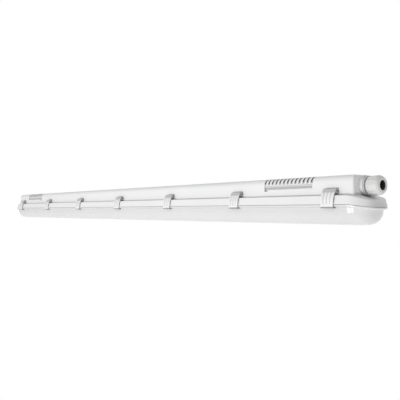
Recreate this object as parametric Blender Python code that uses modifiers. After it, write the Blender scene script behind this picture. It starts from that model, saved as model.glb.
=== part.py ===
# Vapor tight light fixture, 1.5 m class: housing, opal diffuser, snap clips, cable gland and gear tray.
# Metres. The origin is the middle of the flat top, which lies against the ceiling.
# +X runs along the fixture to the cable gland, +Y to the rear clips and +Z up.

import math

import bmesh
import bpy
from mathutils import Matrix, Vector

# Overall sizes
FIXTURE_LENGTH = 1.500
FIXTURE_WIDTH = 0.086
CROWN_HEIGHT = 0.0325
RIM_HEIGHT = 0.0145
DIFFUSER_DROP = 0.033
END_FLAT = 0.010

# Clearances
SEAT_GAP = 0.0003
SLIDE_GAP = 0.0004
LOOSE_GAP = 0.0006
OVERRUN = 0.002

# Roundness of what is lofted and turned
CORNER_STEPS = 7
EDGE_STEPS = 4
BARREL_STEPS = 3
ARM_STEPS = 5
TURN_STEPS = 32
SMALL_TURN_STEPS = 16
STRAP_STEPS = 14
SMOOTH_ANGLE = math.radians(32)

# Crown, the upper box of the housing
CROWN_SIDE_INSET = 0.012
CROWN_END_INSET = 0.029
CROWN_EDGE_RADIUS = 0.011
CROWN_END_EDGE_RADIUS = 0.007
CROWN_CORNER_RADIUS = 0.003
CROWN_WALL = 0.0026
CROWN_INNER_RADIUS = 0.013
CROWN_INNER_END_RADIUS = 0.008
CREASE_DEPTH = 0.0196
UPPER_DRAFT = 0.0004
LOWER_FLARE = 0.0009

# Shelf and rim band of the housing
SHELF_THICKNESS = 0.0025
SHELF_END_DROP = 0.0090
SEAM_END_DROP = 0.0050
END_DROP_BEND = 1.5
RIM_DRAFT = 0.0025
RIM_EDGE_RADIUS = 0.0015
RIM_WALL = 0.0024
CHANNEL_WIDTH = 0.006
CHANNEL_DEPTH = 0.008
INNER_WALL = 0.0022
INNER_WALL_RISE = 0.0015

# Bracket zones on the crown
ZONE_FROM_END = 0.112
ZONE_LENGTH = 0.113
SLOT_COUNT = 13
SLOT_WIDTH = 0.0034
SLOT_DEPTH = 0.002
SLOT_TOP_ANGLE = math.radians(96)
SLOT_LOW_ANGLE = math.radians(12)
RAIL_TOP = 0.0128
RAIL_DEPTH = 0.0014
CATCH_WIDTH = 0.008
CATCH_TOP = 0.0152
CATCH_BOTTOM = 0.0226

# Clips and the rails that they turn on
CLIPS_PER_SIDE = 7
CLIP_FROM_END = 0.0705
CLIP_WIDTH = 0.026
CLIP_THICKNESS = 0.0017
CLIP_TAPER_SHARE = 0.06
CLIP_PIVOT_DROP = 0.0252
CLIP_BARREL_RADIUS = 0.0040
CLIP_BARREL_WALL = 0.0013
CLIP_OPEN_ANGLE = math.radians(85)
CLIP_ARM_BEND = 1.6
CLIP_ARM_START = math.radians(18)
CLIP_ARM_UNDER = math.radians(-40)
CLIP_FACE_DROP = 0.0085
CLIP_FOOT_THICKNESS = 0.0014
CLIP_GROOVES = 3
CLIP_GROOVE_WIDTH = 0.0024
CLIP_GROOVE_DEPTH = 0.0007
CLIP_HEM = 0.0048
CLIP_FOOT_ROUND = 0.0009
HINGE_BEAD_GAP = 0.0002
HINGE_RAIL_LENGTH = 0.022
HINGE_WEB = 0.001
HINGE_WEB_MARGIN = math.radians(21)
POCKET_SIDE_GAP = 0.0010
POCKET_DEPTH = 0.0008
POCKET_TOP_GAP = 0.0008
POCKET_FOOT = 0.0006

# Diffuser
DIFFUSER_WALL = 0.0022
DIFFUSER_EDGE_INSET = 0.0004
FLANGE_ROOT = 0.0043
FLANGE_EDGE = 0.0030
TONGUE_GAP = 0.001
STRAIGHT_SIDE = 0.005
SIDE_DRAFT = 0.0002
BELLY_RADIUS = 0.0296
BELLY_STEPS = 7
BELLY_END_TAPER = 0.0096
BELLY_END_FULLNESS = 0.0035

# Gasket
GASKET_HEIGHT = 0.003
GASKET_WIDTH = 0.004

# Cable gland
GLAND_DROP = 0.0176
GLAND_THREAD_RADIUS = 0.010
BOSS_RADIUS = 0.0156
BOSS_ROOT_RADIUS = 0.0172
BOSS_PROUD = 0.0048
BOSS_INSIDE = 0.004
WASHER_THICKNESS = 0.0012
WASHER_RADIUS = 0.0132
GLAND_FLANGE_RADIUS = 0.0152
GLAND_FLANGE = 0.0020
GLAND_NECK = 0.0026
GLAND_STUB_RADIUS = 0.0112
GLAND_STUB = 0.0157
GLAND_BORE_RADIUS = 0.0077
GLAND_INSIDE = 0.0075
LOCKNUT_FLATS = 0.024
LOCKNUT_THICKNESS = 0.005
SEAL_MOUTH_DEPTH = 0.0056
SEAL_RADIUS = 0.0092
SEAL_BORE_RADIUS = 0.0070
NUT_RADIUS = 0.0158
NUT_BACK_RADIUS = 0.0150
NUT_LENGTH = 0.0222
NUT_FRONT_WALL = 0.0024
NUT_FRONT_RADIUS = 0.0102
NUT_HOLE_RADIUS = 0.0080
NUT_ROUND = 0.0080
NUT_LOBES = 12
NUT_LOBE_DEPTH = 0.0007
NUT_STEPS = 48

# Knock-out ring in the far end wall
KNOCKOUT_RADIUS = 0.0102
KNOCKOUT_GROOVE = 0.0010
KNOCKOUT_DEPTH = 0.0014

# Gear tray
TRAY_FROM_END = 0.046
TRAY_FLANGE = 0.0087
TRAY_SHEET = 0.0008

# Light boards
BOARD_COUNT = 3
BOARD_FROM_TRAY_END = 0.030
BOARD_WIDTH = 0.022
BOARD_THICKNESS = 0.0016
BOARD_SPACE = 0.014
CHIPS_PER_BOARD = 16
CHIP_LENGTH = 0.0035
CHIP_WIDTH = 0.0028
CHIP_HEIGHT = 0.0007
LINK_LENGTH = 0.030
LINK_WIDTH = 0.0036
LINK_HEIGHT = 0.0022
LINK_OFFSET = 0.0075

# Tray posts and straps
POST_HEAD_RADIUS = 0.0040
POST_HEAD_HEIGHT = 0.0022
POST_STEM_RADIUS = 0.0026
POST_BASE_RADIUS = 0.0046
POST_BASE = 0.0020
POST_NOSE_SHARE = 0.55
END_POST_FROM_TRAY_END = 0.016
END_POST_FROM_WALL = 0.0174
STRAP_FROM_TRAY_END = 0.274
STRAP_WIDTH = 0.008
STRAP_THICKNESS = 0.0008
STRAP_FOOT = 0.008
STRAP_FOLD = 0.006

# Driver
DRIVER_LENGTH = 0.280
DRIVER_WIDTH = 0.030
DRIVER_HEIGHT = 0.021
DRIVER_WALL = 0.0010
DRIVER_LID = 0.0012
DRIVER_TAB = 0.014
DRIVER_TAB_WIDTH = 0.012
DRIVER_TAB_THICKNESS = 0.0012
DRIVER_BOARD_THICKNESS = 0.0016
COIL_LENGTH = 0.022
COIL_WIDTH = 0.018
COIL_HEIGHT = 0.0125
CAPACITOR_RADIUS = 0.0055
CAPACITOR_LENGTH = 0.021

# Screws
SCREW_HEAD_RADIUS = 0.0034
SCREW_HEAD = 0.0021
SCREW_SHANK_RADIUS = 0.0017
SCREW_RECESS_RADIUS = 0.0013
SCREW_RECESS = 0.0011

# Terminal block
TERMINAL_FROM_END = 0.104
TERMINAL_LENGTH = 0.030
TERMINAL_WIDTH = 0.030
TERMINAL_HEIGHT = 0.0165
TERMINAL_TAB = 0.009
TERMINAL_TAB_THICKNESS = 0.002
POLE_PITCH = 0.009
BUTTON_LENGTH = 0.0090
BUTTON_WIDTH = 0.0056
BUTTON_HEIGHT = 0.0060
BUTTON_PROUD = 0.0022
BUTTON_TRAVEL = 0.0016
WIRE_MOUTH_RADIUS = 0.0022
WIRE_MOUTH_DEPTH = 0.005
WIRE_MOUTH_RISE = 0.0050
EARTH_SCREW_FROM_TERMINAL = 0.020

# Wires
MAINS_WIRE_RADIUS = 0.0013
LED_WIRE_RADIUS = 0.0009
WIRE_POINTS_PER_SPAN = 3
WIRE_SPREAD = 0.0088
GROMMET_RADIUS = 0.0052
GROMMET_LIP = 0.0010
GROMMET_BORE_RADIUS = 0.0030
GROMMET_Y = 0.019
LED_WIRE_SPACE = 0.0024
LED_WIRE_BEND = 0.0018

# Places worked out from the sizes above
HALF_LENGTH = FIXTURE_LENGTH / 2
HALF_WIDTH = FIXTURE_WIDTH / 2
END_RADIUS = HALF_WIDTH - END_FLAT / 2
ZONE_OUTER_X = HALF_LENGTH - ZONE_FROM_END
ZONE_INNER_X = ZONE_OUTER_X - ZONE_LENGTH
CLIP_PITCH = 2 * (HALF_LENGTH - CLIP_FROM_END) / (CLIPS_PER_SIDE - 1)
SHELF_Z = -CROWN_HEIGHT
RIM_Z = SHELF_Z - RIM_HEIGHT
BOTTOM_Z = RIM_Z - DIFFUSER_DROP
CROWN_HALF_WIDTH = HALF_WIDTH - CROWN_SIDE_INSET
CROWN_END_X = HALF_LENGTH - CROWN_END_INSET
HOLLOW_HALF_WIDTH = CROWN_HALF_WIDTH - CROWN_WALL
HOLLOW_END_X = CROWN_END_X - CROWN_WALL
CEILING_Z = -CROWN_WALL
END_POST_OFFSET = HOLLOW_HALF_WIDTH - END_POST_FROM_WALL
LEDGE_Z = SHELF_Z - SHELF_THICKNESS
CHANNEL_Z = RIM_Z + CHANNEL_DEPTH
RIM_SLOPE = RIM_DRAFT / RIM_HEIGHT
CHANNEL_INSET = RIM_WALL + CHANNEL_WIDTH
LOW_HOLLOW_INSET = CHANNEL_INSET + INNER_WALL
LOW_HOLLOW_HALF_WIDTH = HALF_WIDTH - LOW_HOLLOW_INSET
INNER_WALL_Z = RIM_Z + INNER_WALL_RISE
POCKET_Y = CROWN_HALF_WIDTH - POCKET_DEPTH
PIVOT_Y = POCKET_Y + SLIDE_GAP + CLIP_BARREL_RADIUS
PIVOT_Z = -CLIP_PIVOT_DROP
FLANGE_Z = RIM_Z - SEAT_GAP
TONGUE_INSET = CHANNEL_INSET - TONGUE_GAP - DIFFUSER_WALL
GLAND_Z = -GLAND_DROP
BOSS_X = CROWN_END_X + BOSS_PROUD
BOSS_INNER_X = HOLLOW_END_X - BOSS_INSIDE
TRAY_Z = LEDGE_Z - SEAT_GAP - TRAY_FLANGE
TRAY_TOP_Z = TRAY_Z + TRAY_SHEET
TRAY_LENGTH = 2 * (HALF_LENGTH - TRAY_FROM_END)
BOARD_ROW = TRAY_LENGTH - 2 * BOARD_FROM_TRAY_END
BOARD_LENGTH = (BOARD_ROW - (BOARD_COUNT - 1) * BOARD_SPACE) / BOARD_COUNT
BOARD_STEP = BOARD_LENGTH + BOARD_SPACE
STRAP_X = TRAY_LENGTH / 2 - STRAP_FROM_TRAY_END
DRIVER_Z = TRAY_TOP_Z + SEAT_GAP
WIRE_FLOOR_Z = TRAY_TOP_Z + SEAT_GAP + MAINS_WIRE_RADIUS
TERMINAL_TOP_Z = DRIVER_Z + TERMINAL_HEIGHT
TERMINAL_X = HALF_LENGTH - TERMINAL_FROM_END
TERMINAL_INNER_X = TERMINAL_X - TERMINAL_LENGTH / 2
EARTH_SCREW_X = TERMINAL_INNER_X - EARTH_SCREW_FROM_TERMINAL
GROMMET_X = -BOARD_STEP / 2


# Scene set-up

def clear_scene():
    for obj in list(bpy.data.objects):
        bpy.data.objects.remove(obj, do_unlink=True)


def new_collection(name, hidden=False):
    made = bpy.data.collections.new(name)
    bpy.context.scene.collection.children.link(made)
    made.hide_render = hidden
    return made


clear_scene()
PARTS = new_collection("Vapor tight light fixture")
CUTTERS = new_collection("Cutters", hidden=True)


def material(name, colour, roughness, metallic=0.0, transmission=0.0):
    """A Principled material with the piece's own colour, roughness and metallic value."""
    found = bpy.data.materials.get(name)
    if found:
        return found
    made = bpy.data.materials.new(name)
    made.use_nodes = True
    shader = made.node_tree.nodes["Principled BSDF"]
    shader.inputs["Base Color"].default_value = (*colour, 1.0)
    shader.inputs["Roughness"].default_value = roughness
    shader.inputs["Metallic"].default_value = metallic
    shader.inputs["Transmission Weight"].default_value = transmission
    made.diffuse_color = (*colour, 1.0)
    made.roughness = roughness
    made.metallic = metallic
    return made


HOUSING_GREY = material("Housing polycarbonate", (0.80, 0.80, 0.80), 0.42)
CLIP_WHITE = material("Clip polycarbonate", (0.84, 0.84, 0.84), 0.38)
OPAL = material("Opal polycarbonate", (0.86, 0.86, 0.86), 0.35)
GLAND_GREY = material("Gland polyamide", (0.74, 0.74, 0.73), 0.40)
SEAL_BLACK = material("Seal rubber", (0.02, 0.02, 0.02), 0.75)
GASKET_FOAM = material("Gasket foam", (0.10, 0.10, 0.10), 0.95)
TRAY_WHITE = material("Tray enamel", (0.86, 0.86, 0.85), 0.30)
BOARD_WHITE = material("Board lacquer", (0.82, 0.84, 0.82), 0.35)
LINK_PLASTIC = material("Link plastic", (0.90, 0.90, 0.86), 0.45)
DRIVER_CASE = material("Driver case", (0.78, 0.78, 0.77), 0.45)
DRIVER_GREEN = material("Driver board", (0.02, 0.18, 0.07), 0.45)
STEEL = material("Zinc plated steel", (0.62, 0.63, 0.65), 0.35, metallic=1.0)
POST_NYLON = material("Post nylon", (0.88, 0.88, 0.86), 0.5)
STRAP_NYLON = material("Strap nylon", (0.92, 0.92, 0.90), 0.5)
TERMINAL_GREY = material("Terminal plastic", (0.30, 0.31, 0.32), 0.5)
WIRE_BROWN = material("Live insulation", (0.20, 0.07, 0.03), 0.5)
WIRE_BLUE = material("Neutral insulation", (0.02, 0.10, 0.45), 0.5)
WIRE_GREEN = material("Earth insulation", (0.10, 0.42, 0.05), 0.5)
WIRE_RED = material("Plus insulation", (0.55, 0.02, 0.02), 0.5)
WIRE_BLACK = material("Minus insulation", (0.02, 0.02, 0.02), 0.5)


def smoothing_group():
    """Shades faces smooth, with a sharp edge wherever two of them meet at more than SMOOTH_ANGLE."""
    group = bpy.data.node_groups.new("Smooth by angle", "GeometryNodeTree")
    for way in ("INPUT", "OUTPUT"):
        group.interface.new_socket("Geometry", in_out=way, socket_type="NodeSocketGeometry")
    start = group.nodes.new("NodeGroupInput")
    end = group.nodes.new("NodeGroupOutput")
    faces = group.nodes.new("GeometryNodeSetShadeSmooth")
    edges = group.nodes.new("GeometryNodeSetShadeSmooth")
    edges.domain = "EDGE"
    edges.inputs["Shade Smooth"].default_value = False
    angle = group.nodes.new("GeometryNodeInputMeshEdgeAngle")
    sharp = group.nodes.new("FunctionNodeCompare")
    sharp.operation = "GREATER_THAN"
    sharp.inputs[1].default_value = SMOOTH_ANGLE
    group.links.new(start.outputs["Geometry"], faces.inputs["Geometry"])
    group.links.new(faces.outputs["Geometry"], edges.inputs["Geometry"])
    group.links.new(angle.outputs["Unsigned Angle"], sharp.inputs[0])
    group.links.new(sharp.outputs["Result"], edges.inputs["Selection"])
    group.links.new(edges.outputs["Geometry"], end.inputs["Geometry"])
    return group


SMOOTHING = smoothing_group()


# Building blocks

def add_object(name, mesh, finish=None, place=(0, 0, 0)):
    """A visible part when it has a finish, and a hidden cutter when it has none."""
    obj = bpy.data.objects.new(name, mesh)
    obj.location = place
    if finish:
        PARTS.objects.link(obj)
        if not mesh.materials:
            mesh.materials.append(finish)
    else:
        CUTTERS.objects.link(obj)
        obj.hide_render = True
        obj.display_type = "WIRE"
    return obj


def mesh_from(name, mesh_data):
    mesh = bpy.data.meshes.new(name)
    bmesh.ops.recalc_face_normals(mesh_data, faces=mesh_data.faces)
    mesh_data.to_mesh(mesh)
    mesh_data.free()
    return mesh


def loft(name, rings, closed=False):
    """Skins a list of rings with equal point counts. An open stack is capped at both ends."""
    built = bmesh.new()
    levels = [[built.verts.new(point) for point in ring] for ring in rings]
    pairs = list(zip(levels, levels[1:]))
    if closed:
        pairs.append((levels[-1], levels[0]))
    for low, high in pairs:
        for i in range(len(low)):
            j = (i + 1) % len(low)
            built.faces.new((low[i], low[j], high[j], high[i]))
    if not closed:
        built.faces.new(levels[0])
        built.faces.new(levels[-1])
    return mesh_from(name, built)


def plan_ring(half_length, half_width, radius, z, end_drop=0.0):
    """A rounded rectangle seen from above. Its rounded ends may dip by end_drop."""
    ring = []
    corners = ((1, 1), (-1, 1), (-1, -1), (1, -1))
    for quarter, (side_x, side_y) in enumerate(corners):
        middle_x = side_x * (half_length - radius)
        middle_y = side_y * (half_width - radius)
        for step in range(CORNER_STEPS + 1):
            angle = math.radians(90) * (quarter + step / CORNER_STEPS)
            x = middle_x + radius * math.cos(angle)
            y = middle_y + radius * math.sin(angle)
            dip = end_drop * max(0.0, (abs(x) - (half_length - radius)) / radius) ** END_DROP_BEND
            ring.append(Vector((x, y, z - dip)))
    return ring


def rim_ring(inset, z, end_drop=0.0):
    """The rim's outline, moved in by inset all round."""
    return plan_ring(HALF_LENGTH - inset, HALF_WIDTH - inset, END_RADIUS - inset, z, end_drop)


def crown_ring(side_inset, end_inset, z):
    """The crown's outline, moved in along its sides and at its ends."""
    radius = max(CROWN_CORNER_RADIUS - side_inset, SEAT_GAP)
    return plan_ring(CROWN_END_X - end_inset, CROWN_HALF_WIDTH - side_inset, radius, z)


def box_mesh(name, low, high):
    low = Vector(low)
    high = Vector(high)
    size = high - low
    centre = (low + high) / 2
    built = bmesh.new()
    bmesh.ops.create_cube(built, size=1, matrix=Matrix.Translation(centre) @ Matrix.Diagonal((*size, 1)))
    return mesh_from(name, built)


def cylinder_mesh(name, radius, low, high, axis="Z", centre=(0, 0), steps=TURN_STEPS):
    """A cylinder between two places on its axis. centre gives the other two coordinates in X, Y, Z order."""
    built = bmesh.new()
    bmesh.ops.create_cone(
        built, cap_ends=True, segments=steps, radius1=radius, radius2=radius, depth=high - low
    )
    middle = (low + high) / 2
    if axis == "X":
        turn = Matrix.Rotation(math.radians(90), 4, "Y")
        place = Matrix.Translation((middle, *centre))
    else:
        turn = Matrix.Identity(4)
        place = Matrix.Translation((*centre, middle))
    bmesh.ops.transform(built, matrix=place @ turn, verts=built.verts)
    return mesh_from(name, built)


def joined_mesh(name, meshes):
    """Several separate shapes as one mesh, for a cutter that cuts in many places at once."""
    built = bmesh.new()
    for mesh in meshes:
        built.from_mesh(mesh)
        bpy.data.meshes.remove(mesh)
    return mesh_from(name, built)


def boolean(target, other, operation="DIFFERENCE"):
    step = target.modifiers.new(f"{operation.title()} {other.name}", "BOOLEAN")
    step.operation = operation
    step.object = other
    step.solver = "EXACT"


def cut(target, name, meshes):
    boolean(target, add_object(name, joined_mesh(name, meshes)))


def join(target, name, meshes):
    boolean(target, add_object(name, joined_mesh(name, meshes)), "UNION")


def settled_mesh(obj, name):
    """The object's mesh with its modifiers applied and its loose caps welded."""
    bpy.context.view_layer.update()
    graph = bpy.context.evaluated_depsgraph_get()
    mesh = bpy.data.meshes.new_from_object(obj.evaluated_get(graph))
    mesh.name = name
    built = bmesh.new()
    built.from_mesh(mesh)
    bmesh.ops.remove_doubles(built, verts=built.verts, dist=SEAT_GAP / 100)
    built.to_mesh(mesh)
    built.free()
    return mesh


def plate_mesh(name, outline, low_x, high_x):
    """A flat outline in the Y-Z plane, filled and drawn out from low_x to high_x."""
    curve = bpy.data.curves.new(name, "CURVE")
    curve.dimensions = "2D"
    curve.fill_mode = "BOTH"
    curve.extrude = (high_x - low_x) / 2
    spline = curve.splines.new("POLY")
    spline.points.add(len(outline) - 1)
    for point, (y, z) in zip(spline.points, outline):
        point.co = (y, z, 0, 1)
    spline.use_cyclic_u = True
    guide = bpy.data.objects.new(name, curve)
    CUTTERS.objects.link(guide)
    mesh = settled_mesh(guide, name)
    bpy.data.objects.remove(guide)
    # The curve lies in its own X-Y plane: this turns it so that X, Y become Y, Z
    turn = Matrix(((0, 0, 1, (low_x + high_x) / 2), (1, 0, 0, 0), (0, 1, 0, 0), (0, 0, 0, 1)))
    mesh.transform(turn)
    return mesh


def turned(name, profile, finish, place=(0, 0, 0), along_x=False, steps=TURN_STEPS, closed=True):
    """A turned piece. Its (radius, height) profile runs down the outer side and, if closed, up the bore."""
    mesh = bpy.data.meshes.new(name)
    count = len(profile)
    edges = [(i, i + 1) for i in range(count - 1)]
    if closed:
        edges.append((count - 1, 0))
    mesh.from_pydata([(radius, 0, height) for radius, height in profile], edges, [])
    obj = add_object(name, mesh, finish, place)
    if along_x:
        obj.rotation_euler = (0, math.radians(90), 0)
    screw = obj.modifiers.new("Turn", "SCREW")
    screw.axis = "Z"
    screw.steps = steps
    screw.render_steps = steps
    screw.use_merge_vertices = True
    screw.merge_threshold = SEAT_GAP / 100
    screw.use_smooth_shade = True
    return obj


def arc(centre, radius, start, end, steps):
    """Points on an arc from start to end, both included, as (across, up) pairs."""
    points = []
    for step in range(steps + 1):
        angle = start + (end - start) * step / steps
        points.append((centre[0] + radius * math.cos(angle), centre[1] + radius * math.sin(angle)))
    return points


# Housing

def housing_rings():
    """Rings from the middle of the top, out and down the outside, then up the inside to the ceiling."""
    rings = []
    for step in range(EDGE_STEPS + 1):
        angle = math.radians(90) * step / EDGE_STEPS
        share = 1 - math.sin(angle)
        side_inset = UPPER_DRAFT + CROWN_EDGE_RADIUS * share
        end_inset = UPPER_DRAFT + CROWN_END_EDGE_RADIUS * share
        rings.append(crown_ring(side_inset, end_inset, -CROWN_EDGE_RADIUS * (1 - math.cos(angle))))
    rings.append(crown_ring(0, 0, -CREASE_DEPTH))
    rings.append(crown_ring(-LOWER_FLARE, -LOWER_FLARE, SHELF_Z))
    top_inset = RIM_DRAFT
    rings.append(rim_ring(top_inset + RIM_EDGE_RADIUS, SHELF_Z, SHELF_END_DROP))
    for step in range(1, EDGE_STEPS + 1):
        angle = math.radians(90) * step / EDGE_STEPS
        inset = top_inset + RIM_EDGE_RADIUS * (1 - math.sin(angle))
        rings.append(rim_ring(inset, SHELF_Z - RIM_EDGE_RADIUS * (1 - math.cos(angle)), SHELF_END_DROP))
    channel = (
        (0, RIM_Z),
        (RIM_WALL, RIM_Z),
        (RIM_WALL + CHANNEL_DEPTH * RIM_SLOPE, CHANNEL_Z),
        (CHANNEL_INSET, CHANNEL_Z),
        (CHANNEL_INSET, INNER_WALL_Z),
        (LOW_HOLLOW_INSET, INNER_WALL_Z),
    )
    rings += [rim_ring(inset, z, SEAM_END_DROP) for inset, z in channel]
    rings.append(rim_ring(LOW_HOLLOW_INSET, LEDGE_Z, SHELF_END_DROP))
    corner = CROWN_CORNER_RADIUS
    rings.append(plan_ring(HOLLOW_END_X, HOLLOW_HALF_WIDTH, corner, LEDGE_Z))
    for step in range(EDGE_STEPS + 1):
        angle = math.radians(90) * step / EDGE_STEPS
        share = 1 - math.cos(angle)
        z = CEILING_Z - CROWN_INNER_RADIUS * (1 - math.sin(angle))
        end_x = HOLLOW_END_X - CROWN_INNER_END_RADIUS * share
        side_y = HOLLOW_HALF_WIDTH - CROWN_INNER_RADIUS * share
        rings.append(plan_ring(end_x, side_y, corner, z))
    return rings


def both_sides(outline):
    """An outline for the rear side, and the same one mirrored to the front."""
    yield outline
    yield [(-y, z) for y, z in reversed(outline)]


def zone_ranges():
    """The bracket zones as (low, high, inner end) along X."""
    yield ZONE_INNER_X, ZONE_OUTER_X, ZONE_INNER_X
    yield -ZONE_OUTER_X, -ZONE_INNER_X, -ZONE_INNER_X


def slot_outline():
    """A band across the crown's rounded edge, from SLOT_DEPTH inside it to outside it."""
    edge = CROWN_EDGE_RADIUS
    centre = (CROWN_HALF_WIDTH - UPPER_DRAFT - edge, -edge)
    floor = arc(centre, edge - SLOT_DEPTH, SLOT_TOP_ANGLE, SLOT_LOW_ANGLE, 3)
    outside = arc(centre, edge + OVERRUN, SLOT_LOW_ANGLE, SLOT_TOP_ANGLE, 2)
    return floor + outside


def cut_bracket_zones(housing):
    slots = []
    grooves = []
    floor_y = CROWN_HALF_WIDTH - RAIL_DEPTH
    outside_y = CROWN_HALF_WIDTH + OVERRUN
    for outline in both_sides(slot_outline()):
        for low, high, _ in zone_ranges():
            step = (high - low - SLOT_WIDTH) / (SLOT_COUNT - 1)
            for number in range(SLOT_COUNT):
                start = low + number * step
                slots.append(plate_mesh("slot", outline, start, start + SLOT_WIDTH))
    for side in (-1, 1):
        for low, high, inner in zone_ranges():
            near, far = sorted((side * floor_y, side * outside_y))
            groove = box_mesh("groove", (low, near, -CREASE_DEPTH), (high, far, -RAIL_TOP))
            grooves.append(groove)
            catch_low, catch_high = sorted((inner, inner + math.copysign(CATCH_WIDTH, inner)))
            catch = box_mesh("catch", (catch_low, near, -CATCH_BOTTOM), (catch_high, far, -CATCH_TOP))
            cutter = add_object(f"Catch cutter {side} {inner:.2f}", catch)
            boolean(housing, cutter)
    cut(housing, "Comb slots", slots)
    cut(housing, "Rail grooves", grooves)


def clip_centres():
    middle = (CLIPS_PER_SIDE - 1) / 2
    return [(number - middle) * CLIP_PITCH for number in range(CLIPS_PER_SIDE)]


def cut_clip_pockets(housing):
    pockets = []
    half = CLIP_WIDTH / 2 + POCKET_SIDE_GAP
    top = PIVOT_Z + CLIP_BARREL_RADIUS + POCKET_TOP_GAP
    bottom = SHELF_Z + POCKET_FOOT
    for side in (-1, 1):
        near, far = sorted((side * POCKET_Y, side * (CROWN_HALF_WIDTH + OVERRUN)))
        for x in clip_centres():
            pockets.append(box_mesh("pocket", (x - half, near, bottom), (x + half, far, top)))
    cut(housing, "Clip pockets", pockets)


def hinge_outline():
    """A thin web out of the crown's wall that ends in the bead on which a clip turns."""
    bead = CLIP_BARREL_RADIUS - CLIP_BARREL_WALL - HINGE_BEAD_GAP
    half_web = HINGE_WEB / 2
    meet = math.asin(half_web / bead)
    root_y = POCKET_Y - POCKET_DEPTH
    round_part = arc((PIVOT_Y, PIVOT_Z), bead, math.pi - meet, meet - math.pi, 2 * EDGE_STEPS)
    return [(root_y, PIVOT_Z - half_web), (root_y, PIVOT_Z + half_web)] + round_part


def join_hinge_rails(housing):
    rails = []
    for outline in both_sides(hinge_outline()):
        for x in clip_centres():
            low = x - HINGE_RAIL_LENGTH / 2
            rails.append(plate_mesh("rail", outline, low, low + HINGE_RAIL_LENGTH))
    join(housing, "Hinge rails", rails)


def make_housing():
    housing = add_object("housing", loft("housing", housing_rings()), HOUSING_GREY)
    cut_clip_pockets(housing)
    join_hinge_rails(housing)
    cut_bracket_zones(housing)
    join_gland_boss(housing)
    cut_gland_hole(housing)
    cut_knockout(housing)


def join_gland_boss(housing):
    """A drafted boss on the near end wall, thick enough on the inside for the locknut's face."""
    length = BOSS_X - BOSS_INNER_X
    profile = [
        (0, length),
        (BOSS_RADIUS, length),
        (BOSS_ROOT_RADIUS, length - BOSS_PROUD),
        (BOSS_ROOT_RADIUS, 0),
        (0, 0),
    ]
    place = (BOSS_INNER_X, 0, GLAND_Z)
    boss = turned("Gland boss", profile, None, place, along_x=True, closed=False)
    boolean(housing, boss, "UNION")


def cut_gland_hole(housing):
    """The thread's hole, opened out at the boss's face to seat the sealing washer."""
    length = BOSS_X - BOSS_INNER_X
    seat_radius = WASHER_RADIUS + SLIDE_GAP
    seat = length - WASHER_THICKNESS - SEAT_GAP
    hole_radius = GLAND_THREAD_RADIUS + SLIDE_GAP
    profile = [
        (0, length + OVERRUN),
        (seat_radius, length + OVERRUN),
        (seat_radius, seat),
        (hole_radius, seat),
        (hole_radius, -OVERRUN),
        (0, -OVERRUN),
    ]
    place = (BOSS_INNER_X, 0, GLAND_Z)
    boolean(housing, turned("Gland hole", profile, None, place, along_x=True, closed=False))


def cut_knockout(housing):
    """A ring groove round the blank cable entry in the far end wall."""
    outer = KNOCKOUT_RADIUS + KNOCKOUT_GROOVE
    floor_x = KNOCKOUT_DEPTH
    profile = [
        (outer, floor_x),
        (outer, -OVERRUN),
        (KNOCKOUT_RADIUS, -OVERRUN),
        (KNOCKOUT_RADIUS, floor_x),
    ]
    ring = turned("Knock-out groove", profile, None, (-CROWN_END_X, 0, GLAND_Z), along_x=True, steps=24)
    boolean(housing, ring)


# Diffuser and gasket

def belly(inset, wall):
    """(inset, z) pairs down the diffuser's side and round to its bottom, wall inside the outer face."""
    side_inset = inset + SIDE_DRAFT
    top_z = FLANGE_Z - FLANGE_ROOT - STRAIGHT_SIDE
    across = BELLY_RADIUS - wall
    down = top_z - BOTTOM_Z - wall
    points = [(inset + wall, FLANGE_Z - FLANGE_ROOT)]
    for step in range(BELLY_STEPS + 1):
        angle = math.radians(90) * step / BELLY_STEPS
        round_inset = side_inset + wall + across * (1 - math.cos(angle))
        points.append((round_inset, top_z - down * math.sin(angle)))
    return points


def make_diffuser():
    top_z = CHANNEL_Z - SEAT_GAP - GASKET_HEIGHT - SEAT_GAP
    edge = DIFFUSER_EDGE_INSET
    outside = [
        (TONGUE_INSET, top_z),
        (TONGUE_INSET, FLANGE_Z),
        (edge, FLANGE_Z),
        (edge, FLANGE_Z - FLANGE_EDGE),
    ]
    outside += belly(TONGUE_INSET, 0)
    inside = [(TONGUE_INSET + DIFFUSER_WALL, top_z)]
    inside += belly(TONGUE_INSET, DIFFUSER_WALL)
    rings = [diffuser_ring(inset, z) for inset, z in reversed(inside)]
    rings += [diffuser_ring(inset, z) for inset, z in outside]
    add_object("diffuser", loft("diffuser", rings), OPAL)


def diffuser_ring(inset, z):
    """Down to the flange the ends follow the seam. Below it they taper, and the bottom is level."""
    share = max(0.0, (FLANGE_Z - FLANGE_EDGE - z) / (FLANGE_Z - FLANGE_EDGE - BOTTOM_Z))
    end_inset = inset + BELLY_END_TAPER * share * (1 - share) - BELLY_END_FULLNESS * share * share
    dip = SEAM_END_DROP * max(0.0, 1 - share)
    return plan_ring(HALF_LENGTH - end_inset, HALF_WIDTH - inset, END_RADIUS - inset, z, dip)


def make_gasket():
    inner = CHANNEL_INSET - SEAT_GAP
    outer = inner - GASKET_WIDTH
    high = CHANNEL_Z - SEAT_GAP
    low = high - GASKET_HEIGHT
    corners = ((outer, high), (outer, low), (inner, low), (inner, high))
    rings = [rim_ring(inset, z, SEAM_END_DROP) for inset, z in corners]
    add_object("gasket", loft("gasket", rings, closed=True), GASKET_FOAM)


# Clips

def flange_under_z(y):
    """Height of the diffuser flange's sloping underside at a distance y from the middle."""
    root_y = HALF_WIDTH - TONGUE_INSET
    edge_y = HALF_WIDTH - DIFFUSER_EDGE_INSET
    share = (y - root_y) / (edge_y - root_y)
    return FLANGE_Z - FLANGE_ROOT + share * (FLANGE_ROOT - FLANGE_EDGE)


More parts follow.
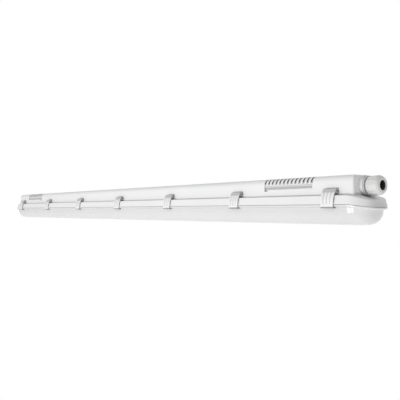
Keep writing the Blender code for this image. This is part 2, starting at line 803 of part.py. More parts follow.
def clip_sizes():
    """The clip's corner places, seen along its hinge, as distances from the fixture's middle and top."""
    inner_y = HALF_WIDTH + LOOSE_GAP
    face_y = inner_y + CLIP_THICKNESS
    face_z = SHELF_Z - CLIP_FACE_DROP
    tip_y = HALF_WIDTH - TONGUE_INSET + SLIDE_GAP
    foot_z = flange_under_z(tip_y) - SEAT_GAP - CLIP_FOOT_THICKNESS
    return inner_y, face_y, face_z, tip_y, foot_z


def arm_lines():
    """The arm's outer and inner lines, from the barrel out over a shoulder and down to the face."""
    _, face_y, face_z, _, _ = clip_sizes()
    start_y = PIVOT_Y + CLIP_BARREL_RADIUS * math.cos(CLIP_ARM_START)
    start_z = PIVOT_Z + CLIP_BARREL_RADIUS * math.sin(CLIP_ARM_START)
    across = face_y - start_y
    down = start_z - face_z
    outer = []
    inner = []
    for step in range(1, ARM_STEPS + 1):
        t = step / ARM_STEPS
        y = start_y + across * (1 - (1 - t) ** CLIP_ARM_BEND)
        z = start_z - down * t
        steepness = CLIP_ARM_BEND * (1 - t) ** (CLIP_ARM_BEND - 1)
        slope = Vector((across * steepness, -down)).normalized()
        outer.append((y, z))
        inner.append((y + slope.y * CLIP_THICKNESS, z - slope.x * CLIP_THICKNESS))
    return outer, inner


def clip_outline():
    inner_y, face_y, _, tip_y, foot_z = clip_sizes()
    pivot = (PIVOT_Y, PIVOT_Z)
    gap_start = math.pi - CLIP_OPEN_ANGLE - HINGE_WEB_MARGIN
    gap_end = HINGE_WEB_MARGIN - math.pi
    bore = CLIP_BARREL_RADIUS - CLIP_BARREL_WALL
    arm_outer, arm_inner = arm_lines()
    top_arc = arc(pivot, CLIP_BARREL_RADIUS, gap_start, CLIP_ARM_START, BARREL_STEPS)
    back_arc = arc(pivot, CLIP_BARREL_RADIUS, CLIP_ARM_UNDER, gap_end, BARREL_STEPS)
    bore_arc = arc(pivot, bore, gap_end, gap_start, 2 * BARREL_STEPS + 1)
    foot_round = CLIP_FOOT_ROUND
    foot = [
        (face_y, foot_z + CLIP_FOOT_THICKNESS),
        (face_y - foot_round / 2, foot_z + foot_round / 2),
        (face_y - foot_round, foot_z),
        (tip_y + foot_round / 2, foot_z),
        (tip_y, foot_z + foot_round / 2),
        (tip_y, flange_under_z(tip_y) - SEAT_GAP),
        (inner_y - foot_round / 2, flange_under_z(inner_y) - SEAT_GAP),
        (inner_y, flange_under_z(inner_y) + foot_round),
    ]
    return top_arc + arm_outer + foot + arm_inner[::-1] + back_arc + bore_arc


def groove_outline():
    """A band along the clip's outer face, CLIP_GROOVE_DEPTH deep, from the arm down to the hem."""
    _, face_y, _, _, foot_z = clip_sizes()
    arm_outer, _ = arm_lines()
    low_z = foot_z + CLIP_FOOT_THICKNESS + CLIP_HEM
    line = arm_outer + [(face_y, low_z)]
    floor = [(y - CLIP_GROOVE_DEPTH, z) for y, z in line]
    outside = [(y + OVERRUN, z) for y, z in reversed(line)]
    return floor + outside


def make_clips():
    half = CLIP_WIDTH / 2
    clip = add_object("Clip master", plate_mesh("clip master", clip_outline(), -half, half))
    rib = (CLIP_WIDTH - CLIP_GROOVES * CLIP_GROOVE_WIDTH) / (CLIP_GROOVES + 1)
    grooves = []
    for number in range(CLIP_GROOVES):
        start = -half + rib + number * (rib + CLIP_GROOVE_WIDTH)
        grooves.append(plate_mesh("clip groove", groove_outline(), start, start + CLIP_GROOVE_WIDTH))
    cut(clip, "Clip grooves", grooves)
    mesh = settled_mesh(clip, "clip")
    mesh.transform(Matrix.Translation((0, -PIVOT_Y, -PIVOT_Z)))
    clip.modifiers.clear()
    height = PIVOT_Z - clip_sizes()[-1]
    for corner in mesh.vertices:
        corner.co.x *= 1 + CLIP_TAPER_SHARE * corner.co.z / height
    for number, x in enumerate(clip_centres(), start=1):
        add_object(f"clip_rear_{number}", mesh, CLIP_WHITE, (x, PIVOT_Y, PIVOT_Z))
        front = add_object(f"clip_front_{number}", mesh, CLIP_WHITE, (x, -PIVOT_Y, PIVOT_Z))
        front.rotation_euler = (0, 0, math.pi)


# Cable gland

def make_gland():
    centre = (0, GLAND_Z)
    washer_x = BOSS_X - WASHER_THICKNESS
    flange_x = BOSS_X + SEAT_GAP
    stub_x = flange_x + GLAND_FLANGE
    end_x = stub_x + GLAND_STUB
    mouth_x = end_x - SEAL_MOUTH_DEPTH
    inner_x = BOSS_INNER_X - GLAND_INSIDE
    washer_bore = GLAND_THREAD_RADIUS + SLIDE_GAP
    washer = [
        (WASHER_RADIUS, WASHER_THICKNESS),
        (WASHER_RADIUS, 0),
        (washer_bore, 0),
        (washer_bore, WASHER_THICKNESS),
    ]
    turned("gland_washer", washer, SEAL_BLACK, (washer_x, *centre), along_x=True, steps=TURN_STEPS)
    mouth_radius = SEAL_RADIUS + SLIDE_GAP
    body = [
        (GLAND_STUB_RADIUS, end_x),
        (GLAND_STUB_RADIUS, stub_x),
        (GLAND_FLANGE_RADIUS, stub_x),
        (GLAND_FLANGE_RADIUS, flange_x),
        (GLAND_THREAD_RADIUS, flange_x),
        (GLAND_THREAD_RADIUS, inner_x),
        (GLAND_BORE_RADIUS, inner_x),
        (GLAND_BORE_RADIUS, mouth_x),
        (mouth_radius, mouth_x),
        (mouth_radius, end_x),
    ]
    body = [(radius, x - flange_x) for radius, x in body]
    turned("gland_body", body, GLAND_GREY, (flange_x, *centre), along_x=True)
    make_locknut(BOSS_INNER_X - SEAT_GAP)
    nut_x = stub_x + GLAND_NECK
    nut_end_x = nut_x + NUT_LENGTH
    make_seal(mouth_x + SEAT_GAP, nut_end_x - NUT_FRONT_WALL - SEAT_GAP)
    make_nut(nut_x, end_x + SLIDE_GAP)


def make_locknut(face_x):
    low_x = face_x - LOCKNUT_THICKNESS
    corner = LOCKNUT_FLATS / 2 / math.cos(math.radians(30))
    built = bmesh.new()
    bmesh.ops.create_cone(
        built, cap_ends=True, segments=6, radius1=corner, radius2=corner, depth=LOCKNUT_THICKNESS
    )
    # One flat faces the ceiling
    bmesh.ops.transform(built, matrix=Matrix.Rotation(math.radians(90), 4, "Y"), verts=built.verts)
    nut = add_object("gland_locknut", mesh_from("locknut", built), GLAND_GREY)
    nut.location = ((low_x + face_x) / 2, 0, GLAND_Z)
    hole_radius = GLAND_THREAD_RADIUS + SLIDE_GAP
    hole = cylinder_mesh("hole", hole_radius, low_x - OVERRUN, face_x + OVERRUN, "X", (0, GLAND_Z))
    cut(nut, "Locknut hole", [hole])


def make_seal(low_x, high_x):
    length = high_x - low_x
    seal = [
        (SEAL_RADIUS, length),
        (SEAL_RADIUS, 0),
        (SEAL_BORE_RADIUS, 0),
        (SEAL_BORE_RADIUS, length),
    ]
    turned("gland_seal", seal, SEAL_BLACK, (low_x, 0, GLAND_Z), along_x=True)


def lobed_ring(radius, x, lobe_depth):
    ring = []
    for step in range(NUT_STEPS):
        angle = 2 * math.pi * step / NUT_STEPS
        wave = 0.5 * (1 - math.cos(NUT_LOBES * angle))
        reach = radius - lobe_depth * wave
        ring.append(Vector((x, reach * math.cos(angle), reach * math.sin(angle))))
    return ring


def make_nut(low_x, stub_end_x):
    """The dome nut: a lobed grip, a rounded nose and a stepped bore that holds the seal."""
    length = NUT_LENGTH
    shoulder = length - NUT_ROUND
    inner = GLAND_STUB_RADIUS + SLIDE_GAP
    step_x = stub_end_x - low_x
    seat_x = length - NUT_FRONT_WALL
    seal_room = SEAL_RADIUS + SLIDE_GAP
    chamfer = NUT_RADIUS - NUT_BACK_RADIUS
    rings = [
        lobed_ring(inner, 0, 0),
        lobed_ring(NUT_BACK_RADIUS - chamfer, 0, 0),
        lobed_ring(NUT_BACK_RADIUS, chamfer, NUT_LOBE_DEPTH),
        lobed_ring(NUT_RADIUS, shoulder - chamfer, NUT_LOBE_DEPTH),
    ]
    nose = NUT_RADIUS - NUT_FRONT_RADIUS
    for step in range(1, EDGE_STEPS + 1):
        angle = math.radians(90) * step / EDGE_STEPS
        radius = NUT_FRONT_RADIUS + nose * math.cos(angle)
        rings.append(lobed_ring(radius, shoulder + NUT_ROUND * math.sin(angle), 0))
    rings.append(lobed_ring(NUT_HOLE_RADIUS, length, 0))
    rings.append(lobed_ring(NUT_HOLE_RADIUS, seat_x, 0))
    rings.append(lobed_ring(seal_room, seat_x, 0))
    rings.append(lobed_ring(seal_room, step_x, 0))
    rings.append(lobed_ring(inner, step_x, 0))
    add_object("gland_nut", loft("gland_nut", rings, closed=True), GLAND_GREY, (low_x, 0, GLAND_Z))


# Gear tray

def tray_section():
    """The folded sheet seen along X: a flat web with a short flange up each side."""
    half = LOW_HOLLOW_HALF_WIDTH - LOOSE_GAP
    inner = half - TRAY_SHEET
    top = TRAY_Z + TRAY_FLANGE
    return [
        (-half, TRAY_Z),
        (half, TRAY_Z),
        (half, top),
        (inner, top),
        (inner, TRAY_TOP_Z),
        (-inner, TRAY_TOP_Z),
        (-inner, top),
        (-half, top),
    ]


def post_places():
    end_x = TRAY_LENGTH / 2 - END_POST_FROM_TRAY_END
    middle_x = BOARD_STEP / 2
    return ((-end_x, -END_POST_OFFSET), (-middle_x, 0), (middle_x, 0), (end_x, -END_POST_OFFSET))


def driver_screw_places():
    return (-DRIVER_LENGTH / 2 - DRIVER_TAB / 2, DRIVER_LENGTH / 2 + DRIVER_TAB / 2)


def terminal_screw_x():
    return TERMINAL_X + TERMINAL_LENGTH / 2 + TERMINAL_TAB / 2


def make_tray():
    half = TRAY_LENGTH / 2
    tray = add_object("gear_tray", plate_mesh("gear_tray", tray_section(), -half, half), TRAY_WHITE)
    low = TRAY_Z - OVERRUN
    high = TRAY_TOP_Z + OVERRUN
    holes = []
    post_hole = POST_STEM_RADIUS + SLIDE_GAP
    for place in post_places():
        holes.append(cylinder_mesh("hole", post_hole, low, high, "Z", place, SMALL_TURN_STEPS))
    screw_hole = SCREW_SHANK_RADIUS + SLIDE_GAP
    for x in (*driver_screw_places(), terminal_screw_x(), EARTH_SCREW_X):
        holes.append(cylinder_mesh("hole", screw_hole, low, high, "Z", (x, 0), SMALL_TURN_STEPS))
    grommet_hole = GROMMET_RADIUS + SEAT_GAP
    place = (GROMMET_X, GROMMET_Y)
    holes.append(cylinder_mesh("hole", grommet_hole, low, high, "Z", place, SMALL_TURN_STEPS))
    cut(tray, "Tray holes", holes)


def make_grommet():
    """A rubber ring whose groove holds the edge of the tray's hole."""
    half = TRAY_SHEET / 2 + SEAT_GAP
    lip = GROMMET_LIP
    profile = [
        (GROMMET_RADIUS + lip, half + lip),
        (GROMMET_RADIUS + lip, half),
        (GROMMET_RADIUS, half),
        (GROMMET_RADIUS, -half),
        (GROMMET_RADIUS + lip, -half),
        (GROMMET_RADIUS + lip, -half - lip),
        (GROMMET_BORE_RADIUS, -half - lip),
        (GROMMET_BORE_RADIUS, half + lip),
    ]
    place = (GROMMET_X, GROMMET_Y, TRAY_Z + TRAY_SHEET / 2)
    turned("tray_grommet", profile, SEAL_BLACK, place, steps=SMALL_TURN_STEPS)


def board_centres():
    middle = (BOARD_COUNT - 1) / 2
    return [(number - middle) * BOARD_STEP for number in range(BOARD_COUNT)]


def make_boards():
    """Light boards under the tray, each with its row of light chips."""
    top = TRAY_Z - SEAT_GAP
    low = top - BOARD_THICKNESS
    pitch = BOARD_LENGTH / CHIPS_PER_BOARD
    half_width = BOARD_WIDTH / 2
    for number, x in enumerate(board_centres(), start=1):
        start = x - BOARD_LENGTH / 2
        mesh = box_mesh("board", (start, -half_width, low), (start + BOARD_LENGTH, half_width, top))
        board = add_object(f"led_board_{number}", mesh, BOARD_WHITE)
        chips = []
        for chip in range(CHIPS_PER_BOARD):
            centre = start + (chip + 0.5) * pitch
            chip_low = (centre - CHIP_LENGTH / 2, -CHIP_WIDTH / 2, low - CHIP_HEIGHT)
            chip_high = (centre + CHIP_LENGTH / 2, CHIP_WIDTH / 2, low + BOARD_THICKNESS / 2)
            chips.append(box_mesh("chip", chip_low, chip_high))
        join(board, f"Chips {number}", chips)


def make_links():
    """Plug-in links that carry the current over the space between two boards."""
    high = TRAY_Z - SEAT_GAP - BOARD_THICKNESS - SEAT_GAP
    low = high - LINK_HEIGHT
    for number in range(1, BOARD_COUNT):
        x = board_centres()[number - 1] + BOARD_STEP / 2
        corner = (x - LINK_LENGTH / 2, -LINK_OFFSET - LINK_WIDTH / 2, low)
        opposite = (x + LINK_LENGTH / 2, -LINK_OFFSET + LINK_WIDTH / 2, high)
        add_object(f"board_link_{number}", box_mesh("link", corner, opposite), LINK_PLASTIC)


def make_posts():
    """Posts that hang from the ceiling of the housing and hold the tray on a barbed head."""
    top = CEILING_Z - SEAT_GAP
    shoulder = TRAY_TOP_Z + SEAT_GAP
    neck = TRAY_Z - SEAT_GAP
    profile = [
        (0, top),
        (POST_BASE_RADIUS, top),
        (POST_BASE_RADIUS, top - POST_BASE),
        (POST_STEM_RADIUS, top - 2 * POST_BASE),
        (POST_STEM_RADIUS, shoulder + POST_BASE),
        (POST_HEAD_RADIUS, shoulder + POST_BASE / 2),
        (POST_HEAD_RADIUS, shoulder),
        (POST_STEM_RADIUS, shoulder),
        (POST_STEM_RADIUS, neck),
        (POST_HEAD_RADIUS, neck),
        (POST_HEAD_RADIUS * POST_NOSE_SHARE, neck - POST_HEAD_HEIGHT),
        (0, neck - POST_HEAD_HEIGHT),
    ]
    for number, (x, y) in enumerate(post_places(), start=1):
        name = f"tray_post_{number}"
        turned(name, profile, POST_NYLON, (x, y, 0), steps=SMALL_TURN_STEPS, closed=False)


def strap_line():
    """The folded strap's middle line from the side wall down to the tray, as (y, z) pairs."""
    wall_y = -(HOLLOW_HALF_WIDTH - SEAT_GAP - STRAP_THICKNESS / 2)
    high = CEILING_Z - CROWN_INNER_RADIUS - LOOSE_GAP
    low = TRAY_TOP_Z + SEAT_GAP + STRAP_THICKNESS / 2
    drop = high - STRAP_FOOT - low
    line = [(wall_y, high)]
    for step in range(STRAP_STEPS + 1):
        t = step / STRAP_STEPS
        y = wall_y + STRAP_FOLD * math.sin(math.pi * t) ** 2
        line.append((y, high - STRAP_FOOT - drop * t))
    line.append((wall_y + STRAP_FOOT, low))
    return line


def make_straps():
    """Folded safety straps along the front wall, which hold the tray when it is let down."""
    line = strap_line()
    left = []
    right = []
    for i, point in enumerate(line):
        before = Vector(line[max(i - 1, 0)])
        after = Vector(line[min(i + 1, len(line) - 1)])
        along = (after - before).normalized()
        side = Vector((-along.y, along.x)) * STRAP_THICKNESS / 2
        left.append(tuple(Vector(point) + side))
        right.append(tuple(Vector(point) - side))
    outline = left + right[::-1]
    half = STRAP_WIDTH / 2
    for number, x in enumerate((-STRAP_X, STRAP_X), start=1):
        mesh = plate_mesh("strap", outline, -half, half)
        add_object(f"tray_strap_{number}", mesh, STRAP_NYLON, (x, 0, 0))


# Driver

def make_driver():
    half_length = DRIVER_LENGTH / 2
    half_width = DRIVER_WIDTH / 2
    wall = DRIVER_WALL
    lid_z = DRIVER_Z + DRIVER_HEIGHT - DRIVER_LID
    base_top = lid_z - SEAT_GAP
    low = (-half_length, -half_width, DRIVER_Z)
    base_mesh = box_mesh("base", low, (half_length, half_width, base_top))
    base = add_object("driver_base", base_mesh, DRIVER_CASE)
    tabs = []
    for side in (-1, 1):
        near, far = sorted((side * (half_length - wall / 2), side * (half_length + DRIVER_TAB)))
        tab_low = (near, -DRIVER_TAB_WIDTH / 2, DRIVER_Z)
        tab_high = (far, DRIVER_TAB_WIDTH / 2, DRIVER_Z + DRIVER_TAB_THICKNESS)
        tabs.append(box_mesh("tab", tab_low, tab_high))
    join(base, "Driver tabs", tabs)
    inner_low = (wall - half_length, wall - half_width, DRIVER_Z + wall)
    inner_high = (half_length - wall, half_width - wall, base_top + OVERRUN)
    cut(base, "Driver inside", [box_mesh("inside", inner_low, inner_high)])
    hole = SCREW_SHANK_RADIUS + SLIDE_GAP
    top = DRIVER_Z + DRIVER_TAB_THICKNESS + OVERRUN
    holes = []
    for x in driver_screw_places():
        holes.append(cylinder_mesh("hole", hole, DRIVER_Z - OVERRUN, top, "Z", (x, 0), SMALL_TURN_STEPS))
    cut(base, "Driver tab holes", holes)
    lid_low = (-half_length, -half_width, lid_z)
    lid_high = (half_length, half_width, lid_z + DRIVER_LID)
    add_object("driver_cover", box_mesh("cover", lid_low, lid_high), DRIVER_CASE)
    make_driver_board()


def make_driver_board():
    half_length = DRIVER_LENGTH / 2 - DRIVER_WALL - SEAT_GAP
    half_width = DRIVER_WIDTH / 2 - DRIVER_WALL - SEAT_GAP
    low = DRIVER_Z + DRIVER_WALL + SEAT_GAP
    high = low + DRIVER_BOARD_THICKNESS
    mesh = box_mesh("driver board", (-half_length, -half_width, low), (half_length, half_width, high))
    board = add_object("driver_board", mesh, DRIVER_GREEN)
    sunk = high - DRIVER_BOARD_THICKNESS / 2
    coil_share = 0.45
    pieces = []
    for x in (-half_length * coil_share, half_length * coil_share):
        coil_low = (x - COIL_LENGTH / 2, -COIL_WIDTH / 2, sunk)
        coil_high = (x + COIL_LENGTH / 2, COIL_WIDTH / 2, high + COIL_HEIGHT)
        pieces.append(box_mesh("coil", coil_low, coil_high))
    centre = (0, sunk + CAPACITOR_RADIUS)
    half = CAPACITOR_LENGTH / 2
    pieces.append(cylinder_mesh("capacitor", CAPACITOR_RADIUS, -half, half, "X", centre, SMALL_TURN_STEPS))
    join(board, "Driver components", pieces)


def make_screw(name, place, under_head_z):
    """A pan head screw with a round drive recess, its shank through the tray's sheet."""
    head = SCREW_HEAD
    shank = under_head_z - TRAY_Z
    profile = [
        (0, head - SCREW_RECESS),
        (SCREW_RECESS_RADIUS, head - SCREW_RECESS),
        (SCREW_RECESS_RADIUS, head),
        (SCREW_HEAD_RADIUS - SCREW_RECESS_RADIUS / 2, head),
        (SCREW_HEAD_RADIUS, head / 2),
        (SCREW_HEAD_RADIUS, 0),
        (SCREW_SHANK_RADIUS, 0),
        (SCREW_SHANK_RADIUS, -shank),
        (0, -shank),
    ]
    place = (*place, under_head_z)
    turned(name, profile, STEEL, place, steps=SMALL_TURN_STEPS, closed=False)


def make_screws():
    tab_top = DRIVER_Z + DRIVER_TAB_THICKNESS + SEAT_GAP
    for number, x in enumerate(driver_screw_places(), start=1):
        make_screw(f"driver_screw_{number}", (x, 0), tab_top)
    make_screw("terminal_screw", (terminal_screw_x(), 0), DRIVER_Z + TERMINAL_TAB_THICKNESS + SEAT_GAP)
    make_screw("earth_screw", (EARTH_SCREW_X, 0), TRAY_TOP_Z + SEAT_GAP)


# Terminal block

def pole_centres():
    return (("live", -POLE_PITCH), ("neutral", 0), ("earth", POLE_PITCH))


def make_terminal():
    half_length = TERMINAL_LENGTH / 2
    half_width = TERMINAL_WIDTH / 2
    low_x = TERMINAL_X - half_length
    high_x = TERMINAL_X + half_length
    mesh = box_mesh("terminal", (low_x, -half_width, DRIVER_Z), (high_x, half_width, TERMINAL_TOP_Z))
    block = add_object("terminal_block", mesh, TERMINAL_GREY)
    tab_low = (high_x - OVERRUN, -TERMINAL_TAB / 2, DRIVER_Z)
    tab_high = (high_x + TERMINAL_TAB, TERMINAL_TAB / 2, DRIVER_Z + TERMINAL_TAB_THICKNESS)
    join(block, "Terminal tab", [box_mesh("tab", tab_low, tab_high)])
    button_x = BUTTON_LENGTH / 2 + SLIDE_GAP
    button_y = BUTTON_WIDTH / 2 + SLIDE_GAP
    well_z = TERMINAL_TOP_Z + BUTTON_PROUD - BUTTON_HEIGHT - BUTTON_TRAVEL - SEAT_GAP
    mouth_z = DRIVER_Z + WIRE_MOUTH_RISE
    cuts = []
    for _, y in pole_centres():
        well_low = (TERMINAL_X - button_x, y - button_y, well_z)
        well_high = (TERMINAL_X + button_x, y + button_y, TERMINAL_TOP_Z + OVERRUN)
        cuts.append(box_mesh("well", well_low, well_high))
        for end_x, way in ((low_x, 1), (high_x, -1)):
            near, far = sorted((end_x - way * OVERRUN, end_x + way * WIRE_MOUTH_DEPTH))
            place = (y, mouth_z)
            cuts.append(cylinder_mesh("mouth", WIRE_MOUTH_RADIUS, near, far, "X", place, SMALL_TURN_STEPS))
    hole = SCREW_SHANK_RADIUS + SLIDE_GAP
    top = DRIVER_Z + TERMINAL_TAB_THICKNESS + OVERRUN
    place = (terminal_screw_x(), 0)
    cuts.append(cylinder_mesh("hole", hole, DRIVER_Z - OVERRUN, top, "Z", place, SMALL_TURN_STEPS))
    cut(block, "Terminal openings", cuts)


def make_buttons():
    """Release buttons, one over each pole, that are pressed down to free a wire."""
    top = TERMINAL_TOP_Z + BUTTON_PROUD
    half_x = BUTTON_LENGTH / 2
    half_y = BUTTON_WIDTH / 2
    for pole, y in pole_centres():
        mesh = box_mesh("button", (-half_x, -half_y, -BUTTON_HEIGHT), (half_x, half_y, 0))
        add_object(f"terminal_button_{pole}", mesh, LINK_PLASTIC, (TERMINAL_X, y, top))


# Wires

def smooth_route(points):
    """A smooth curve through the route's own points, each span bent no more than its own length asks for."""
    route = [Vector(point) for point in points]
    spans = [end - start for start, end in zip(route, route[1:])]
    ways = [spans[0].normalized()]
    ways += [(a.normalized() + b.normalized()).normalized() for a, b in zip(spans, spans[1:])]
    ways.append(spans[-1].normalized())
    line = []
    for start, span, leave, arrive in zip(route, spans, ways, ways[1:]):
        for step in range(WIRE_POINTS_PER_SPAN):
            t = step / WIRE_POINTS_PER_SPAN
            rise = t * t * (3 - 2 * t)
            out = t * (1 - t) * (1 - t)
            back = t * t * (1 - t)
            line.append(start + span * rise + (leave * out - arrive * back) * span.length)
    line.append(route[-1])
    return line


def make_wire(name, points, radius, finish):
    curve = bpy.data.curves.new(name, "CURVE")
    curve.dimensions = "3D"
    curve.bevel_depth = radius
    curve.bevel_resolution = 2
    curve.use_fill_caps = True
    line = smooth_route(points)
    spline = curve.splines.new("POLY")
    spline.points.add(len(line) - 1)
    for point, place in zip(spline.points, line):
        point.co = (*place, 1)
    wire = bpy.data.objects.new(name, curve)
    curve.materials.append(finish)
    PARTS.objects.link(wire)


def make_mains_wires():
    """Live and neutral run to the driver, and earth to the screw in the tray."""
    mouth_z = DRIVER_Z + WIRE_MOUTH_RISE
    floor = WIRE_FLOOR_Z
    start = TERMINAL_INNER_X + WIRE_MOUTH_DEPTH - SEAT_GAP
    drop = TERMINAL_INNER_X - WIRE_MOUTH_DEPTH
    end = DRIVER_LENGTH / 2 + SEAT_GAP
    rest_x = DRIVER_LENGTH / 2 + DRIVER_TAB + WIRE_MOUTH_DEPTH
    poles = (
        ("wire_live", -POLE_PITCH, -WIRE_SPREAD, WIRE_BROWN),
        ("wire_neutral", 0, WIRE_SPREAD, WIRE_BLUE),
    )
    for name, pole_y, y, finish in poles:
        route = [
            (start, pole_y, mouth_z),
            (drop, pole_y, mouth_z),
            (drop - WIRE_MOUTH_DEPTH, (pole_y + y) / 2, (mouth_z + floor) / 2),
            (drop - 2 * WIRE_MOUTH_DEPTH, y, floor),
            (drop - 3 * WIRE_MOUTH_DEPTH, y, floor),
            (rest_x + WIRE_MOUTH_DEPTH, y, floor),
            (rest_x, y, floor),
            (end + WIRE_MOUTH_DEPTH, y, mouth_z),
            (end, y, mouth_z),
        ]
        make_wire(name, route, MAINS_WIRE_RADIUS, finish)
    reach = SCREW_HEAD_RADIUS + MAINS_WIRE_RADIUS + SEAT_GAP
    bend = WIRE_MOUTH_DEPTH
    route = [
        (start, POLE_PITCH, mouth_z),
        (drop, POLE_PITCH, mouth_z),
        (drop - bend, POLE_PITCH + bend, mouth_z),
        (EARTH_SCREW_X, POLE_PITCH + 2 * bend, floor + MAINS_WIRE_RADIUS),
        (EARTH_SCREW_X - 3 * bend, POLE_PITCH + bend, floor + 3 * MAINS_WIRE_RADIUS),
        (EARTH_SCREW_X - 3 * bend, reach, floor + 3 * MAINS_WIRE_RADIUS),
        (EARTH_SCREW_X - reach - bend / 2, 0, floor),
        (EARTH_SCREW_X - reach, 0, floor),
    ]
    make_wire("wire_earth", route, MAINS_WIRE_RADIUS, WIRE_GREEN)


def make_led_wires():
    """Both wires leave the driver's far end, go down through the grommet and meet the first board's edge."""
    floor = TRAY_TOP_Z + SEAT_GAP + LED_WIRE_RADIUS
    exit_z = DRIVER_Z + WIRE_MOUTH_RISE
    over_z = TRAY_TOP_Z + GROMMET_LIP + LED_WIRE_BEND
    under_z = TRAY_Z - GROMMET_LIP - LED_WIRE_BEND
    board_z = TRAY_Z - SEAT_GAP - BOARD_THICKNESS / 2
    start = -DRIVER_LENGTH / 2 - SEAT_GAP
    rest_x = start - DRIVER_TAB
    edge_y = BOARD_WIDTH / 2 + SEAT_GAP
    lip_x = GROMMET_X + GROMMET_RADIUS
    for name, side, finish in (("wire_led_plus", -1, WIRE_RED), ("wire_led_minus", 1, WIRE_BLACK)):
        y = GROMMET_Y + side * LED_WIRE_SPACE / 2
        exit_y = y - GROMMET_Y + DRIVER_TAB_WIDTH / 2 + LED_WIRE_SPACE
        board_x = GROMMET_X - GROMMET_RADIUS - BOARD_SPACE / 2 - side * LED_WIRE_SPACE
        route = [
            (start, exit_y, exit_z),
            (start - LED_WIRE_BEND, exit_y, exit_z),
            (rest_x, exit_y, floor + LED_WIRE_RADIUS),
            ((rest_x + lip_x) / 2, (exit_y + y) / 2, floor + LED_WIRE_RADIUS),
            (lip_x + 2 * LED_WIRE_BEND, y, floor + LED_WIRE_RADIUS),
            (lip_x, y, over_z + LED_WIRE_RADIUS),
            (GROMMET_X + LED_WIRE_RADIUS, y, over_z - LED_WIRE_RADIUS),
            (GROMMET_X, y, TRAY_Z),
            (GROMMET_X - LED_WIRE_RADIUS, y, under_z + LED_WIRE_RADIUS),
            (GROMMET_X - GROMMET_RADIUS, y, under_z - LED_WIRE_RADIUS),
            (board_x, (y + edge_y + LED_WIRE_BEND) / 2, board_z - LED_WIRE_BEND / 2),
            (board_x, edge_y + LED_WIRE_RADIUS, board_z),
            (board_x, edge_y, board_z),
        ]
        make_wire(name, route, LED_WIRE_RADIUS, finish)


def shade_parts():
    for obj in PARTS.objects:
        if obj.type == "MESH":
            obj.modifiers.new("Smooth by angle", "NODES").node_group = SMOOTHING


make_housing()
make_diffuser()
make_gasket()
make_clips()
make_gland()
make_tray()
make_grommet()
make_boards()
make_links()
make_posts()
make_straps()
make_driver()
make_screws()
make_terminal()
make_buttons()
make_mains_wires()
make_led_wires()
shade_parts()
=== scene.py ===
import math

import bmesh
import bpy
from mathutils import Matrix, Vector


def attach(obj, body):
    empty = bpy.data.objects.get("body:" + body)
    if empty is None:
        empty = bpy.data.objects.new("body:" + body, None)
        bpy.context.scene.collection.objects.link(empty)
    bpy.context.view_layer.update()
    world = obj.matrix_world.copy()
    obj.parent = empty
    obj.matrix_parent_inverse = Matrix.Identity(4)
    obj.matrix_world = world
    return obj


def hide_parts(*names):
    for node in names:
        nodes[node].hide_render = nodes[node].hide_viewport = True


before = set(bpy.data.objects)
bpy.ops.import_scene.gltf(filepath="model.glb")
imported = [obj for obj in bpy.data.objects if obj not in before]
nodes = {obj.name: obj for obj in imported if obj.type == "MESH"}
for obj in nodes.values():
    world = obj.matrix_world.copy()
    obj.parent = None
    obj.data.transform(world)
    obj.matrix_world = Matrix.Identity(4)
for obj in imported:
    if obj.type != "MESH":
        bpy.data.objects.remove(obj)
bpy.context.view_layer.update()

print("frame loaded with", len(nodes), "nodes")


# Shader wiring: a Wire is one output socket, and a Shader adds the nodes

class Wire:
    def __init__(self, shader, socket):
        self.shader = shader
        self.socket = socket

    def maths(self, operation, *values):
        return self.shader.add("ShaderNodeMath", {"operation": operation}, dict(enumerate(values)))

    def __abs__(self):
        return self.maths("ABSOLUTE", self)

    def __add__(self, other):
        return self.maths("ADD", self, other)

    def __sub__(self, other):
        return self.maths("SUBTRACT", self, other)

    def __rsub__(self, other):
        return self.maths("SUBTRACT", other, self)

    def __mul__(self, other):
        return self.maths("MULTIPLY", self, other)

    def __mod__(self, other):
        return self.maths("MODULO", self, other)

    def __lt__(self, other):
        return self.maths("LESS_THAN", self, other)

    def __gt__(self, other):
        return self.maths("GREATER_THAN", self, other)

    def larger(self, other):
        return self.maths("MAXIMUM", self, other)


colourMix = {"first": 6, "second": 7, "result": 2}  # the colour sockets of a Mix node


